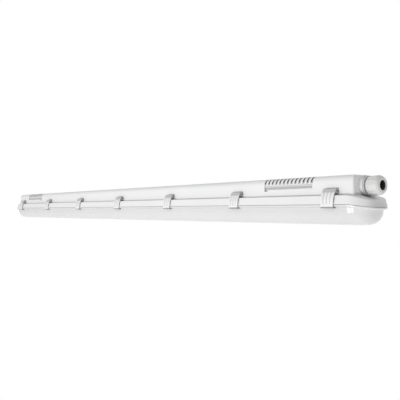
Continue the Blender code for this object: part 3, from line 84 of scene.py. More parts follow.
class Shader:
    def __init__(self, tree):
        self.tree = tree

    def add(self, kind, settings=None, values=None, output=0):
        node = self.tree.nodes.new(kind)
        for name, setting in (settings or {}).items():
            setattr(node, name, setting)
        for name, value in (values or {}).items():
            self.feed(node.inputs[name], value)
        return Wire(self, node.outputs[output])

    def feed(self, socket, value):
        if isinstance(value, Wire):
            self.tree.links.new(value.socket, socket)
        else:
            socket.default_value = value

    def place(self):  # in the frame of the piece itself
        return self.add("ShaderNodeTexCoord", output="Object")

    def part(self, vector, axis):
        return self.add("ShaderNodeSeparateXYZ", {}, {"Vector": vector}, output=axis)

    def along(self, axis):
        return self.part(self.place(), axis)

    def upward(self):  # the upright share of the surface's direction
        return self.part(self.add("ShaderNodeNewGeometry", output="Normal"), "Z")

    def noise(self, place, scale, detail=2.0, roughness=0.5):
        sockets = {"Vector": place, "Scale": scale, "Detail": detail, "Roughness": roughness}
        return self.add("ShaderNodeTexNoise", {}, sockets)

    def cells(self, place, scale, feature):
        return self.add("ShaderNodeTexVoronoi", {"feature": feature}, {"Vector": place, "Scale": scale})

    def ranged(self, value, low, high, toLow=0.0, toHigh=1.0):  # a clamped Map Range
        sockets = {"Value": value, "From Min": low, "From Max": high, "To Min": toLow, "To Max": toHigh}
        return self.add("ShaderNodeMapRange", {"clamp": True}, sockets)

    def blend(self, mask, first, second):  # first where the mask is 0, second where it is 1
        sockets = {"Factor": mask, colourMix["first"]: rgba(first), colourMix["second"]: rgba(second)}
        return self.add("ShaderNodeMix", {"data_type": "RGBA"}, sockets, output=colourMix["result"])

    def finish(self, surface, colour, roughness, height):
        bump = self.add("ShaderNodeBump", {}, {"Height": height, "Distance": 1.0, "Strength": 1.0})
        self.feed(surface.inputs["Base Color"], colour)
        self.feed(surface.inputs["Roughness"], roughness)
        self.feed(surface.inputs["Normal"], bump)


def rgba(colour):
    return colour if isinstance(colour, Wire) else (*colour, 1.0)


subsurfaceReach = 0.004


def newFinish(name, roughness, metallic=0.0, coat=0.0, subsurface=0.0):
    made = bpy.data.materials.new(name)
    made.use_nodes = True
    surface = made.node_tree.nodes["Principled BSDF"]
    surface.inputs["Roughness"].default_value = roughness
    surface.inputs["Metallic"].default_value = metallic
    surface.inputs["Coat Weight"].default_value = coat
    if subsurface:
        surface.inputs["Subsurface Weight"].default_value = subsurface
        surface.inputs["Subsurface Radius"].default_value = (1.0, 1.0, 1.0)
        surface.inputs["Subsurface Scale"].default_value = subsurfaceReach
    return made, Shader(made.node_tree), surface


# Moulded plastics: cloudy colour, painted shade in corners, a fine grain
mouldedLook = {"cloudRange": (0.35, 0.7), "cloudDetail": 3.0, "flowRange": (0.3, 0.75), "flowRoughness": 0.6,
               "cornerSamples": 8, "cornerSpread": 0.45, "openness": {"crease": 0.88, "hollow": 0.58}}


def mouldedFinish(name, look):
    m = mouldedLook
    made, shader, surface = newFinish(name, look["roughness"], subsurface=look.get("subsurface", 0.0))
    place = shader.place()
    clouds = shader.noise(place, look["cloudScale"], m["cloudDetail"])
    body = shader.blend(shader.ranged(clouds, *m["cloudRange"]), look["colour"], look["shade"])
    # Painted light: the diffuser is paler towards its ends, where more light comes through it
    if "paintedEndLight" in look:
        reach = abs(shader.along("X"))
        body = shader.blend(shader.ranged(reach, *look["paintedEndReach"]), body, look["paintedEndLight"])
    # Painted shade: creases and hollows are darkened in the colour by ambient occlusion
    for corner, openness in m["openness"].items():
        settings, sockets = {"samples": m["cornerSamples"]}, {"Distance": look[corner + "Reach"]}
        light = shader.add("ShaderNodeAmbientOcclusion", settings, sockets, output="AO")
        paintedShade = shader.ranged(light, openness - m["cornerSpread"], openness, look[corner + "Amount"], 0.0)
        if "shadeKept" in look:
            paintedShade = paintedShade * look["shadeKept"](shader)
        body = shader.blend(paintedShade, body, look["paintedShade"])
    # Painted shade laid in by place by the look's marks, in the same dark colour
    for shadeMark in look.get("marks", []):
        body = shader.blend(shadeMark(shader), body, look["paintedShade"])
    flow = shader.noise(place, look["flowScale"], roughness=m["flowRoughness"])
    smoothest = look["roughness"] - look["roughSpread"]
    roughest = look["roughness"] + look["roughSpread"]
    rough = shader.ranged(flow, *m["flowRange"], smoothest, roughest)
    grain = shader.noise(place, look["grainScale"]) * look["grainDepth"]
    ripple = shader.noise(place, look["rippleScale"], 1.0) * look["rippleDepth"]
    shader.finish(surface, body, rough, grain + ripple)
    return made


# Shade that gathers by place in the bracket rails, under their lips and in the comb slots
zoneShape = {
    "inner": 0.525, "outer": 0.638, "margin": 0.001,
    "railTop": -0.0150, "railFoot": -0.0186, "railShade": 0.72, "lipTop": -0.0122, "lipShade": 0.26,
    "catchEnd": 0.5325, "catchTop": -0.0150, "catchFoot": -0.0226,
    "combTop": -0.0002, "combFoot": -0.0112, "slots": 13, "slotWidth": 0.0034, "slotSpread": 0.0022,
    "slotShade": 0.8,
}


def between(value, low, high):
    return (value > low) * (value < high)


def railShade(shader):
    z = zoneShape
    reach, up = abs(shader.along("X")), shader.along("Z")
    zone = between(reach, z["inner"], z["outer"])
    rail = zone * between(up, z["railFoot"], z["railTop"])
    catch = between(reach, z["inner"], z["catchEnd"]) * between(up, z["catchFoot"], z["catchTop"])
    lip = zone * between(up, z["railTop"], z["lipTop"])
    return (rail.larger(catch) * z["railShade"]).larger(lip * z["lipShade"])


def slotShade(shader):
    z = zoneShape
    step = (z["outer"] - z["inner"] - z["slotWidth"]) / (z["slots"] - 1)
    reach, up = abs(shader.along("X")), shader.along("Z")
    zone = between(reach, z["inner"] - z["margin"], z["outer"] + z["margin"])
    comb = zone * between(up, z["combFoot"], z["combTop"])
    spread = shader.ranged(up, z["combFoot"], z["combTop"], z["slotSpread"] / 2, 0.0)
    turned = (reach - (z["inner"] - step / 2)) % step
    middle = abs(turned - (step / 2 + z["slotWidth"] / 2))
    return comb * (middle < spread + z["slotWidth"] / 2) * z["slotShade"]


# Clips stand in two rows of seven, at an even pitch
clipRow = {"pitch": 0.2265, "count": 7}

# Painted shade: the gland boss gathers shade above and below, and so does the foot of the crown.
# The rim's end face is painted a little darker, and the painted corner shade is cut back in the clip pockets.
endShape = {
    "bossStart": 0.7216, "bossTop": (-0.0105, -0.0035), "bossFoot": (-0.0310, -0.0265), "bossBase": -0.0322,
    "bossShade": 0.45, "rimReach": (0.7425, 0.750), "rimTop": -0.0325, "rimUpward": 0.5, "rimShade": 0.34,
    "pocketHalf": 0.0145, "pocketTop": -0.0275, "pocketShadeCut": 0.9, "crownFoot": -0.0326, "footLine": -0.0312,
    "footShade": 0.22, "wideStart": 0.694, "wideTop": -0.0285, "wideShade": 0.28,
}


def bossShade(shader):
    e = endShape
    east, up = shader.along("X"), shader.along("Z")
    above = shader.ranged(up, *e["bossTop"], 0.0, e["bossShade"])
    below = shader.ranged(up, *e["bossFoot"], e["bossShade"], 0.0)
    return (east > e["bossStart"]) * (up > e["bossBase"]) * (above + below)


def rimShade(shader):
    e = endShape
    reach = shader.ranged(shader.along("X"), *e["rimReach"], 0.0, e["rimShade"])
    return reach * (shader.upward() < e["rimUpward"]) * (shader.along("Z") < e["rimTop"])


def footShade(shader):
    e = endShape
    east, up = shader.along("X"), shader.along("Z")
    line = between(up, e["crownFoot"], e["footLine"]) * e["footShade"]
    fading = shader.ranged(up, e["footLine"], e["wideTop"], e["wideShade"], 0.0)
    wide = (east > e["wideStart"]) * (up > e["crownFoot"]) * fading
    return line.larger(wide)


# The share of painted corner shade kept, with less of it in the clip pockets
def pocketShadeCut(shader):
    e = endShape
    pitch, half = clipRow["pitch"], e["pocketHalf"]
    place = (shader.along("X") + ((clipRow["count"] + 1) / 2 * pitch + half)) % pitch
    pocket = (place < 2 * half) * (shader.along("Z") < e["pocketTop"])
    return 1 - pocket * e["pocketShadeCut"]


# Shade on a clip's hinge barrel, on its hem and in its grooves, measured from the hinge
clipMarks = {
    "barrelReach": (-0.0045, -0.0015), "barrelShade": 0.55, "hemTop": -0.0256, "hemShade": 0.95,
    "groovePitch": 0.0071, "grooveShift": 2.5, "grooveHalf": 0.0011, "groovesReach": 0.0105,
    "grooveFoot": -0.0205, "grooveTop": -0.0035, "grooveShade": 0.24,
}


def barrelShade(shader):
    return shader.ranged(shader.along("Z"), *clipMarks["barrelReach"], 0.0, clipMarks["barrelShade"])


def hemShade(shader):
    return (shader.along("Z") < clipMarks["hemTop"]) * clipMarks["hemShade"]


def grooveShade(shader):
    c = clipMarks
    pitch = c["groovePitch"]
    across, up = shader.along("X"), shader.along("Z")
    place = (across + c["grooveShift"] * pitch) % pitch
    groove = (abs(place - pitch / 2) < c["grooveHalf"]) * (abs(across) < c["groovesReach"])
    return groove * between(up, c["grooveFoot"], c["grooveTop"]) * c["grooveShade"]


plasticLooks = {
    "housing": {"colour": (0.87, 0.87, 0.87), "shade": (0.845, 0.847, 0.85), "paintedShade": (0.30, 0.30, 0.30),
                "roughness": 0.42, "roughSpread": 0.05, "cloudScale": 9.0, "flowScale": 40.0,
                "creaseReach": 0.0025, "creaseAmount": 0.75, "hollowReach": 0.014, "hollowAmount": 0.95,
                "marks": [railShade, slotShade, bossShade, rimShade, footShade], "shadeKept": pocketShadeCut,
                "grainScale": 2600.0, "grainDepth": 0.00002, "rippleScale": 60.0, "rippleDepth": 0.00004},
    "clip": {"colour": (0.89, 0.89, 0.89), "shade": (0.85, 0.85, 0.855), "paintedShade": (0.28, 0.28, 0.28),
             "roughness": 0.30, "roughSpread": 0.05, "cloudScale": 60.0, "flowScale": 120.0,
             "creaseReach": 0.002, "creaseAmount": 0.7, "hollowReach": 0.008, "hollowAmount": 0.4,
             "marks": [barrelShade, hemShade, grooveShade],
             "grainScale": 3000.0, "grainDepth": 0.00001, "rippleScale": 260.0, "rippleDepth": 0.00002},
    "opal": {"colour": (0.72, 0.72, 0.72), "shade": (0.705, 0.705, 0.705), "paintedShade": (0.35, 0.35, 0.35),
             "roughness": 0.12, "roughSpread": 0.02, "cloudScale": 7.0, "flowScale": 30.0,
             "creaseReach": 0.003, "creaseAmount": 0.12, "hollowReach": 0.006, "hollowAmount": 0.35,
             "subsurface": 0.12, "paintedEndLight": (0.87, 0.87, 0.87), "paintedEndReach": (0.712, 0.748),
             "grainScale": 1800.0, "grainDepth": 0.000004, "rippleScale": 30.0, "rippleDepth": 0.00005},
    "gland": {"colour": (0.76, 0.76, 0.755), "shade": (0.70, 0.70, 0.695), "paintedShade": (0.42, 0.42, 0.42),
              "roughness": 0.38, "roughSpread": 0.07, "cloudScale": 90.0, "flowScale": 160.0,
              "creaseReach": 0.002, "creaseAmount": 0.6, "hollowReach": 0.008, "hollowAmount": 0.7,
              "grainScale": 2400.0, "grainDepth": 0.000025, "rippleScale": 320.0, "rippleDepth": 0.00003},
    "nylon": {"colour": (0.84, 0.84, 0.80), "shade": (0.80, 0.80, 0.76), "paintedShade": (0.6, 0.6, 0.57),
              "roughness": 0.45, "roughSpread": 0.05, "cloudScale": 80.0, "flowScale": 150.0,
              "creaseReach": 0.002, "creaseAmount": 0.5, "hollowReach": 0.008, "hollowAmount": 0.5,
              "subsurface": 0.1,
              "grainScale": 2600.0, "grainDepth": 0.00001, "rippleScale": 300.0, "rippleDepth": 0.00001},
    "case": {"colour": (0.74, 0.74, 0.73), "shade": (0.71, 0.71, 0.70), "paintedShade": (0.5, 0.5, 0.5),
             "roughness": 0.5, "roughSpread": 0.06, "cloudScale": 30.0, "flowScale": 90.0,
             "creaseReach": 0.002, "creaseAmount": 0.5, "hollowReach": 0.008, "hollowAmount": 0.5,
             "grainScale": 1500.0, "grainDepth": 0.00004, "rippleScale": 100.0, "rippleDepth": 0.00002},
    "terminal": {"colour": (0.27, 0.28, 0.29), "shade": (0.23, 0.24, 0.25), "paintedShade": (0.15, 0.15, 0.16),
                 "roughness": 0.48, "roughSpread": 0.06, "cloudScale": 80.0, "flowScale": 150.0,
                 "creaseReach": 0.002, "creaseAmount": 0.5, "hollowReach": 0.008, "hollowAmount": 0.5,
                 "grainScale": 2200.0, "grainDepth": 0.00003, "rippleScale": 200.0, "rippleDepth": 0.00001},
}
finishes = {name: mouldedFinish(name + " plastic", look) for name, look in plasticLooks.items()}
print("plastics made:", len(finishes))


# Rubber and foam: pores, and a pale bloom
rubberLook = {"roughness": 0.8, "bloomScale": 70.0, "bloomDetail": 4.0, "bloomRange": (0.45, 0.8),
              "paler": 1.6, "paleLift": 0.02, "roughReach": (0.3, 0.8), "roughRange": (0.7, 0.92)}


def rubberFinish(name, colour, poreScale, poreDepth):
    r = rubberLook
    made, shader, surface = newFinish(name, r["roughness"])
    place = shader.place()
    pores = shader.cells(place, poreScale, "F1")
    bloom = shader.noise(place, r["bloomScale"], r["bloomDetail"])
    pale = [channel * r["paler"] + r["paleLift"] for channel in colour]
    body = shader.blend(shader.ranged(bloom, *r["bloomRange"]), colour, pale)
    rough = shader.ranged(bloom, *r["roughReach"], *r["roughRange"])
    shader.finish(surface, body, rough, pores * poreDepth)
    return made


# Enamelled sheet: faint clouds and an orange peel
enamelLook = {"roughness": 0.3, "coat": 0.2, "peelScale": 500.0, "peelDepth": 0.00003, "cloudScale": 12.0,
              "cloudDetail": 3.0, "cloudRange": (0.35, 0.7), "duller": 0.95, "roughReach": (0.3, 0.7),
              "roughRange": (0.26, 0.38)}


def enamelFinish(name, colour):
    e = enamelLook
    made, shader, surface = newFinish(name, e["roughness"], coat=e["coat"])
    place = shader.place()
    peel = shader.noise(place, e["peelScale"])
    clouds = shader.noise(place, e["cloudScale"], e["cloudDetail"])
    duller = [channel * e["duller"] for channel in colour]
    body = shader.blend(shader.ranged(clouds, *e["cloudRange"]), colour, duller)
    rough = shader.ranged(clouds, *e["roughReach"], *e["roughRange"])
    shader.finish(surface, body, rough, peel * e["peelDepth"])
    return made


# Plated steel: a fine spangle
steelLook = {"roughness": 0.35, "spangleScale": 900.0, "spangleDetail": 3.0, "spangleRange": (0.35, 0.7),
             "bright": (0.62, 0.63, 0.66), "dark": (0.52, 0.54, 0.56), "roughReach": (0.3, 0.7),
             "roughRange": (0.28, 0.45), "depth": 0.00001}


def steelFinish(name):
    s = steelLook
    made, shader, surface = newFinish(name, s["roughness"], metallic=1.0)
    spangle = shader.noise(shader.place(), s["spangleScale"], s["spangleDetail"])
    body = shader.blend(shader.ranged(spangle, *s["spangleRange"]), s["bright"], s["dark"])
    rough = shader.ranged(spangle, *s["roughReach"], *s["roughRange"])
    shader.finish(surface, body, rough, spangle * s["depth"])
    return made


# Wire insulation, with a second colour on its upper side where it has a stripe
wireLook = {"roughness": 0.45, "cloudScale": 200.0, "cloudRange": (0.3, 0.75), "duller": 0.8,
            "stripeUpward": 0.55, "roughReach": (0.3, 0.7), "roughRange": (0.38, 0.52), "depth": 0.00001}


def wireFinish(name, colour, stripe=None):
    w = wireLook
    made, shader, surface = newFinish(name, w["roughness"])
    clouds = shader.noise(shader.place(), w["cloudScale"])
    duller = [channel * w["duller"] for channel in colour]
    body = shader.blend(shader.ranged(clouds, *w["cloudRange"]), colour, duller)
    if stripe:
        body = shader.blend(shader.upward() > w["stripeUpward"], body, stripe)
    rough = shader.ranged(clouds, *w["roughReach"], *w["roughRange"])
    shader.finish(surface, body, rough, clouds * w["depth"])
    return made


# The light boards: white lacquer, with framed yellow light chips below it
boardLook = {"roughness": 0.35, "chipTop": -0.04588, "chipStep": 0.00055, "lacquer": (0.84, 0.85, 0.83),
             "lacquerShade": (0.79, 0.80, 0.78), "phosphor": (0.86, 0.66, 0.18),
             "frameColour": (0.78, 0.77, 0.72), "cloudScale": 60.0, "cloudDetail": 3.0,
             "cloudRange": (0.3, 0.75), "roughReach": (0.3, 0.7), "roughRange": (0.30, 0.42),
             "grainScale": 1500.0, "grainDepth": 0.00002}


def boardFinish():
    b = boardLook
    made, shader, surface = newFinish("board lacquer", b["roughness"])
    place, up = shader.place(), shader.along("Z")
    clouds = shader.noise(place, b["cloudScale"], b["cloudDetail"])
    lacquer = shader.blend(shader.ranged(clouds, *b["cloudRange"]), b["lacquer"], b["lacquerShade"])
    framed = shader.blend(up < b["chipTop"], lacquer, b["frameColour"])
    body = shader.blend(up < b["chipTop"] - b["chipStep"], framed, b["phosphor"])
    rough = shader.ranged(clouds, *b["roughReach"], *b["roughRange"])
    shader.finish(surface, body, rough, shader.noise(place, b["grainScale"]) * b["grainDepth"])
    return made


# The driver's circuit board: green lacquer with tracks, and dark and pale components standing on it
circuitLook = {"roughness": 0.4, "boardTop": -0.0402, "green": (0.02, 0.20, 0.07),
               "track": (0.06, 0.32, 0.12), "coil": (0.55, 0.42, 0.10), "can": (0.06, 0.07, 0.09),
               "trackScale": 260.0, "trackRange": (0.02, 0.08), "cloudScale": 120.0, "cloudDetail": 3.0,
               "roughReach": (0.3, 0.7), "roughRange": (0.32, 0.5), "depth": 0.00004}


def circuitFinish():
    c = circuitLook
    made, shader, surface = newFinish("circuit board", c["roughness"])
    place, east, up = shader.place(), shader.along("X"), shader.along("Z")
    tracks = shader.ranged(shader.cells(place, c["trackScale"], "DISTANCE_TO_EDGE"), *c["trackRange"])
    green = shader.blend(tracks, c["track"], c["green"])
    part = shader.blend(east > 0.0, c["coil"], c["can"])
    clouds = shader.noise(place, c["cloudScale"], c["cloudDetail"])
    rough = shader.ranged(clouds, *c["roughReach"], *c["roughRange"])
    shader.finish(surface, shader.blend(up > c["boardTop"], green, part), rough, clouds * c["depth"])
    return made


finishes["seal"] = rubberFinish("seal rubber", (0.02, 0.02, 0.02), poreScale=3000.0, poreDepth=0.00001)
finishes["washer"] = rubberFinish("washer rubber", (0.30, 0.30, 0.30), poreScale=3000.0, poreDepth=0.00001)
finishes["foam"] = rubberFinish("gasket foam", (0.08, 0.08, 0.08), poreScale=1600.0, poreDepth=0.00015)
finishes["tray"] = enamelFinish("tray enamel", (0.86, 0.86, 0.85))
finishes["steel"] = steelFinish("plated steel")
finishes["board"] = boardFinish()
finishes["circuit"] = circuitFinish()
finishes["live"] = wireFinish("live insulation", (0.20, 0.07, 0.03))
finishes["neutral"] = wireFinish("neutral insulation", (0.02, 0.10, 0.45))
finishes["earth"] = wireFinish("earth insulation", (0.08, 0.36, 0.05), stripe=(0.75, 0.62, 0.02))
finishes["plus"] = wireFinish("plus insulation", (0.50, 0.02, 0.02))
finishes["minus"] = wireFinish("minus insulation", (0.02, 0.02, 0.02))
print("finishes made:", len(finishes))


# Which finish each carried-over node takes, and which nodes are smoothed, with the angle that stays sharp
nodeFinish = {
    "housing": "housing", "gasket": "foam", "gland_body": "gland", "gland_locknut": "gland",
    "gland_seal": "seal", "gland_washer": "washer", "gear_tray": "tray", "tray_grommet": "seal",
    "driver_base": "case", "driver_cover": "case", "driver_board": "circuit", "terminal_block": "terminal",
    "terminal_screw": "steel", "earth_screw": "steel", "wire_live": "live", "wire_neutral": "neutral",
    "wire_earth": "earth", "wire_led_plus": "plus", "wire_led_minus": "minus",
}
familyFinish = {"led_board": "board", "board_link": "nylon", "tray_post": "nylon", "tray_strap": "nylon",
                "driver_screw": "steel", "terminal_button": "nylon"}
roundedNodes = {"housing": 32.0, "gland_body": 35.0, "gland_washer": 35.0, "gland_seal": 35.0, "gasket": 35.0}
weldReach = 0.000001


def dress(name, node):
    finish = nodeFinish.get(name) or familyFinish.get(name.rsplit("_", 1)[0])
    if not finish:
        return
    node.data.materials.clear()
    node.data.materials.append(finishes[finish])
    for face in node.data.polygons:
        face.material_index = 0
    if name in roundedNodes:  # the doubled points are joined first
        node.data.shade_smooth()
        weld = node.modifiers.new("weld", "WELD")
        weld.merge_threshold = weldReach
        split = node.modifiers.new("split", "EDGE_SPLIT")
        split.split_angle = math.radians(roundedNodes[name])


for name, node in nodes.items():
    dress(name, node)
print("nodes dressed")


# Mesh helpers

def meshFrom(name, built):
    bmesh.ops.recalc_face_normals(built, faces=built.faces)
    mesh = bpy.data.meshes.new(name)
    built.to_mesh(mesh)
    built.free()
    return mesh


def lofted(name, rings, closed=False):  # rings of equal count, capped when the stack is open
    built = bmesh.new()
    levels = [[built.verts.new(point) for point in ring] for ring in rings]
    pairs = list(zip(levels, levels[1:]))
    if closed:
        pairs.append((levels[-1], levels[0]))
    for low, high in pairs:
        for number in range(len(low)):
            after = (number + 1) % len(low)
            built.faces.new((low[number], low[after], high[after], high[number]))
    if not closed:
        built.faces.new(levels[0])
        built.faces.new(levels[-1])
    return meshFrom(name, built)


def smoothed(mesh, degrees):
    mesh.shade_smooth()
    mesh.set_sharp_from_angle(angle=math.radians(degrees))


def placed(name, mesh, finish, body, replaced, matrix=None):
    piece = bpy.data.objects.new(name, mesh)
    bpy.context.scene.collection.objects.link(piece)
    if matrix:
        piece.matrix_world = matrix
    if not mesh.materials:
        mesh.materials.append(finishes[finish])
    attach(piece, body)
    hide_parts(*replaced)


# Diffuser, with a rounder belly and rounder ends than its solid
diffuserShape = {
    "halfLength": 0.750, "halfWidth": 0.043, "endRadius": 0.038, "edgeInset": 0.0004, "tongueInset": 0.0052,
    "tongueTop": -0.0426, "flangeTop": -0.0473, "flangeRoot": 0.0043, "flangeEdge": 0.0030, "wall": 0.0022,
    "straight": 0.005, "draft": 0.0002, "bellyRadius": 0.0296, "bottom": -0.080, "endDrop": 0.005,
    "dropBend": 1.5, "endTaper": 0.0096, "endFullness": 0.0035, "cornerSteps": 24, "bellySteps": 22,
    "edgeRound": 0.0005, "bendInset": 0.3, "bendDrop": 0.2, "sharpFrom": 32.0,
}


def diffuserRing(inset, z):
    d = diffuserShape
    skirt = d["flangeTop"] - d["flangeEdge"]
    share = max(0.0, (skirt - z) / (skirt - d["bottom"]))
    endInset = inset + d["endTaper"] * share * (1 - share) - d["endFullness"] * share * share
    dip = d["endDrop"] * max(0.0, 1 - share)
    radius = d["endRadius"] - inset
    endStart = d["halfLength"] - endInset - radius
    ring = []
    for quarter, (sideX, sideY) in enumerate(((1, 1), (-1, 1), (-1, -1), (1, -1))):
        for step in range(d["cornerSteps"] + 1):
            angle = math.radians(90) * (quarter + step / d["cornerSteps"])
            x = sideX * endStart + radius * math.cos(angle)
            y = sideY * (d["halfWidth"] - inset - radius) + radius * math.sin(angle)
            drop = dip * max(0.0, (abs(x) - endStart) / radius) ** d["dropBend"]
            ring.append(Vector((x, y, z - drop)))
    return ring


def bellyLine(wall):
    d = diffuserShape
    root = d["flangeTop"] - d["flangeRoot"]
    top = root - d["straight"]
    across = d["bellyRadius"] - wall
    line = [(d["tongueInset"] + wall, root)]
    for step in range(d["bellySteps"] + 1):
        angle = math.radians(90) * step / d["bellySteps"]
        inset = d["tongueInset"] + d["draft"] + wall + across * (1 - math.cos(angle))
        line.append((inset, top - (top - d["bottom"] - wall) * math.sin(angle)))
    return line


def makeDiffuser():
    d = diffuserShape
    tongue, edge, bend = d["tongueInset"], d["edgeInset"], d["edgeRound"]
    high, low = d["flangeTop"], d["flangeTop"] - d["flangeEdge"]
    outside = [(tongue, d["tongueTop"]), (tongue, high), (edge + bend, high), (edge, high - bend),
               (edge, low + bend), (edge + bend * d["bendInset"], low + bend * d["bendInset"]),
               (edge + bend, low - bend * d["bendDrop"])]
    outside += bellyLine(0)
    inside = [(tongue + d["wall"], d["tongueTop"])] + bellyLine(d["wall"])
    rings = [diffuserRing(inset, z) for inset, z in reversed(inside)]
    rings += [diffuserRing(inset, z) for inset, z in outside]
    mesh = lofted("diffuserShell", rings)
    smoothed(mesh, d["sharpFrom"])
    placed("diffuserShell", mesh, "opal", "fixture", ["diffuser"])


makeDiffuser()
print("diffuser made")


# Snap clip: its side view swept along the hinge, with rounded edges and the grooves pressed in
clipShape = {
    "pivotY": 0.0346, "pivotZ": -0.0252, "barrel": 0.0040, "barrelWall": 0.0013, "barrelSteps": 10,
    "open": 85.0, "web": 21.0, "armStart": 18.0, "armUnder": -40.0, "armBend": 1.6, "armSteps": 14,
    "thickness": 0.0017, "innerY": 0.0436, "faceZ": -0.0410, "tipY": 0.0382, "seatGap": 0.0003,
    "footThickness": 0.0014, "footRound": 0.0009, "footSteps": 5, "tipSteps": 3, "hem": 0.0048,
    "hemStep": 0.0004, "width": 0.026, "taper": 0.06, "edgeRound": 0.0004, "edgeSteps": 3, "grooves": 3,
    "grooveWidth": 0.0024, "grooveDepth": 0.0007, "grooveSlope": 0.0003,
    "grooveEdge": ((-1, 0.0), (0, 0.15), (1, 0.85), (2, 1.0)), "sharpFrom": 38.0,
}


def flangeUnder(y):
    d = diffuserShape
    rootY = d["halfWidth"] - d["tongueInset"]
    edgeY = d["halfWidth"] - d["edgeInset"]
    share = (y - rootY) / (edgeY - rootY)
    return d["flangeTop"] - d["flangeRoot"] + share * (d["flangeRoot"] - d["flangeEdge"])


def arcLine(middle, radius, start, end, steps):  # (y, z, not grooved)
    y, z = middle
    turns = [start + (end - start) * step / steps for step in range(steps + 1)]
    return [(y + radius * math.cos(turn), z + radius * math.sin(turn), False) for turn in turns]


def armLines():  # the outer line takes the grooves, the inner one doesn't
    c = clipShape
    start = math.radians(c["armStart"])
    startY = c["pivotY"] + c["barrel"] * math.cos(start)
    startZ = c["pivotZ"] + c["barrel"] * math.sin(start)
    across, down = c["innerY"] + c["thickness"] - startY, startZ - c["faceZ"]
    outer, inner = [], []
    for step in range(1, c["armSteps"] + 1):
        t = step / c["armSteps"]
        y = startY + across * (1 - (1 - t) ** c["armBend"])
        z = startZ - down * t
        slope = Vector((across * c["armBend"] * (1 - t) ** (c["armBend"] - 1), -down)).normalized()
        outer.append((y, z, True))
        inner.append((y + slope.y * c["thickness"], z - slope.x * c["thickness"], False))
    return outer, inner


def footLine(footZ):
    c = clipShape
    bend, tip, faceY = c["footRound"], c["tipY"], c["innerY"] + c["thickness"]
    footTop = footZ + c["footThickness"]
    hemZ = footTop + c["hem"]
    down, back = -math.pi / 2, -math.pi
    foot = [(faceY, hemZ + c["hemStep"], True), (faceY, hemZ, False), (faceY, footTop, False)]
    foot += arcLine((faceY - bend, footZ + bend), bend, 0, down, c["footSteps"])
    foot += arcLine((tip + bend / 2, footZ + bend / 2), bend / 2, down, back, c["tipSteps"])
    foot += [(tip, flangeUnder(tip) - c["seatGap"], False),
             (c["innerY"] - bend / 2, flangeUnder(c["innerY"]) - c["seatGap"], False),
             (c["innerY"], flangeUnder(c["innerY"]) + bend, False)]
    return foot


def clipProfile():
    c = clipShape
    pivot = (c["pivotY"], c["pivotZ"])
    footZ = flangeUnder(c["tipY"]) - c["seatGap"] - c["footThickness"]
    gapStart = math.pi - math.radians(c["open"]) - math.radians(c["web"])
    gapEnd = math.radians(c["web"]) - math.pi
    outer, inner = armLines()
    top = arcLine(pivot, c["barrel"], gapStart, math.radians(c["armStart"]), c["barrelSteps"])
    back = arcLine(pivot, c["barrel"], math.radians(c["armUnder"]), gapEnd, c["barrelSteps"])
    bore = arcLine(pivot, c["barrel"] - c["barrelWall"], gapEnd, gapStart, 2 * c["barrelSteps"])
    return top + outer + footLine(footZ) + inner[::-1] + back + bore, footZ


def outwardNormals(profile):
    count = len(profile)
    normals, area = [], 0.0
    for number in range(count):
        before, here, after = profile[number - 1], profile[number], profile[(number + 1) % count]
        along = Vector((after[0] - before[0], after[1] - before[1])).normalized()
        normals.append(Vector((-along.y, along.x)))
        area += here[0] * after[1] - after[0] * here[1]
    return [-normal for normal in normals] if area > 0 else normals


def clipStations():  # (x, inset all round, groove depth)
    c = clipShape
    half, bend, slope = c["width"] / 2, c["edgeRound"], c["grooveSlope"]
    rib = (c["width"] - c["grooves"] * c["grooveWidth"]) / (c["grooves"] + 1)
    stations = []
    for step in range(c["edgeSteps"] + 1):
        angle = math.radians(90) * step / c["edgeSteps"]
        stations.append((-half + bend * (1 - math.cos(angle)), bend * (1 - math.sin(angle)), 0.0))
    farEdge = [(-x, inset, 0.0) for x, inset, _ in reversed(stations)]
    for number in range(c["grooves"]):
        start = -half + rib + number * (rib + c["grooveWidth"])
        end = start + c["grooveWidth"]
        stations += [(start + turn * slope, 0.0, depth) for turn, depth in c["grooveEdge"]]
        stations += [(end - turn * slope, 0.0, depth) for turn, depth in reversed(c["grooveEdge"])]
    return stations + farEdge


def makeClipMesh():
    c = clipShape
    profile, footZ = clipProfile()
    normals = outwardNormals(profile)
    height = c["pivotZ"] - footZ
    rings = []
    for x, inset, groove in clipStations():
        ring = []
        for (y, z, grooved), normal in zip(profile, normals):
            pull = inset + (groove * c["grooveDepth"] if grooved else 0.0)
            point = Vector((x, y - normal.x * pull - c["pivotY"], z - normal.y * pull - c["pivotZ"]))
            point.x *= 1 + c["taper"] * point.z / height
            ring.append(point)
        rings.append(ring)
    mesh = lofted("snapClip", rings)
    smoothed(mesh, c["sharpFrom"])
    return mesh


def makeClips():
    mesh = makeClipMesh()
    c = clipShape
    for side, y, turn in (("front", -c["pivotY"], math.pi), ("rear", c["pivotY"], 0.0)):
        for number in range(1, clipRow["count"] + 1):
            x = (number - (clipRow["count"] + 1) / 2) * clipRow["pitch"]
            matrix = Matrix.Translation((x, y, c["pivotZ"])) @ Matrix.Rotation(turn, 4, "Z")
            body = f"clip_{side}_{number}"
            placed(f"snapClip_{side}_{number}", mesh, "clip", body, [body], matrix)


makeClips()
print("clips made")


# Dome nut: a fluted grip, a rounded nose and the stepped bore
nutShape = {
    "x": 0.7307, "z": -0.0176, "length": 0.0222, "radius": 0.0158, "backRadius": 0.0150,
    "frontRadius": 0.0102, "hole": 0.0080, "round": 0.0080, "lobes": 12, "lobeDepth": 0.0007, "lobeBend": 0.7,
    "lobeFade": 5, "frontWall": 0.0016, "bore": 0.0116, "sealRoom": 0.0096, "boreStep": 0.0131, "steps": 192,
    "noseSteps": 14, "lip": 0.0004, "bendIn": 0.3, "bendAlong": 0.25, "sharpFrom": 40.0,
}


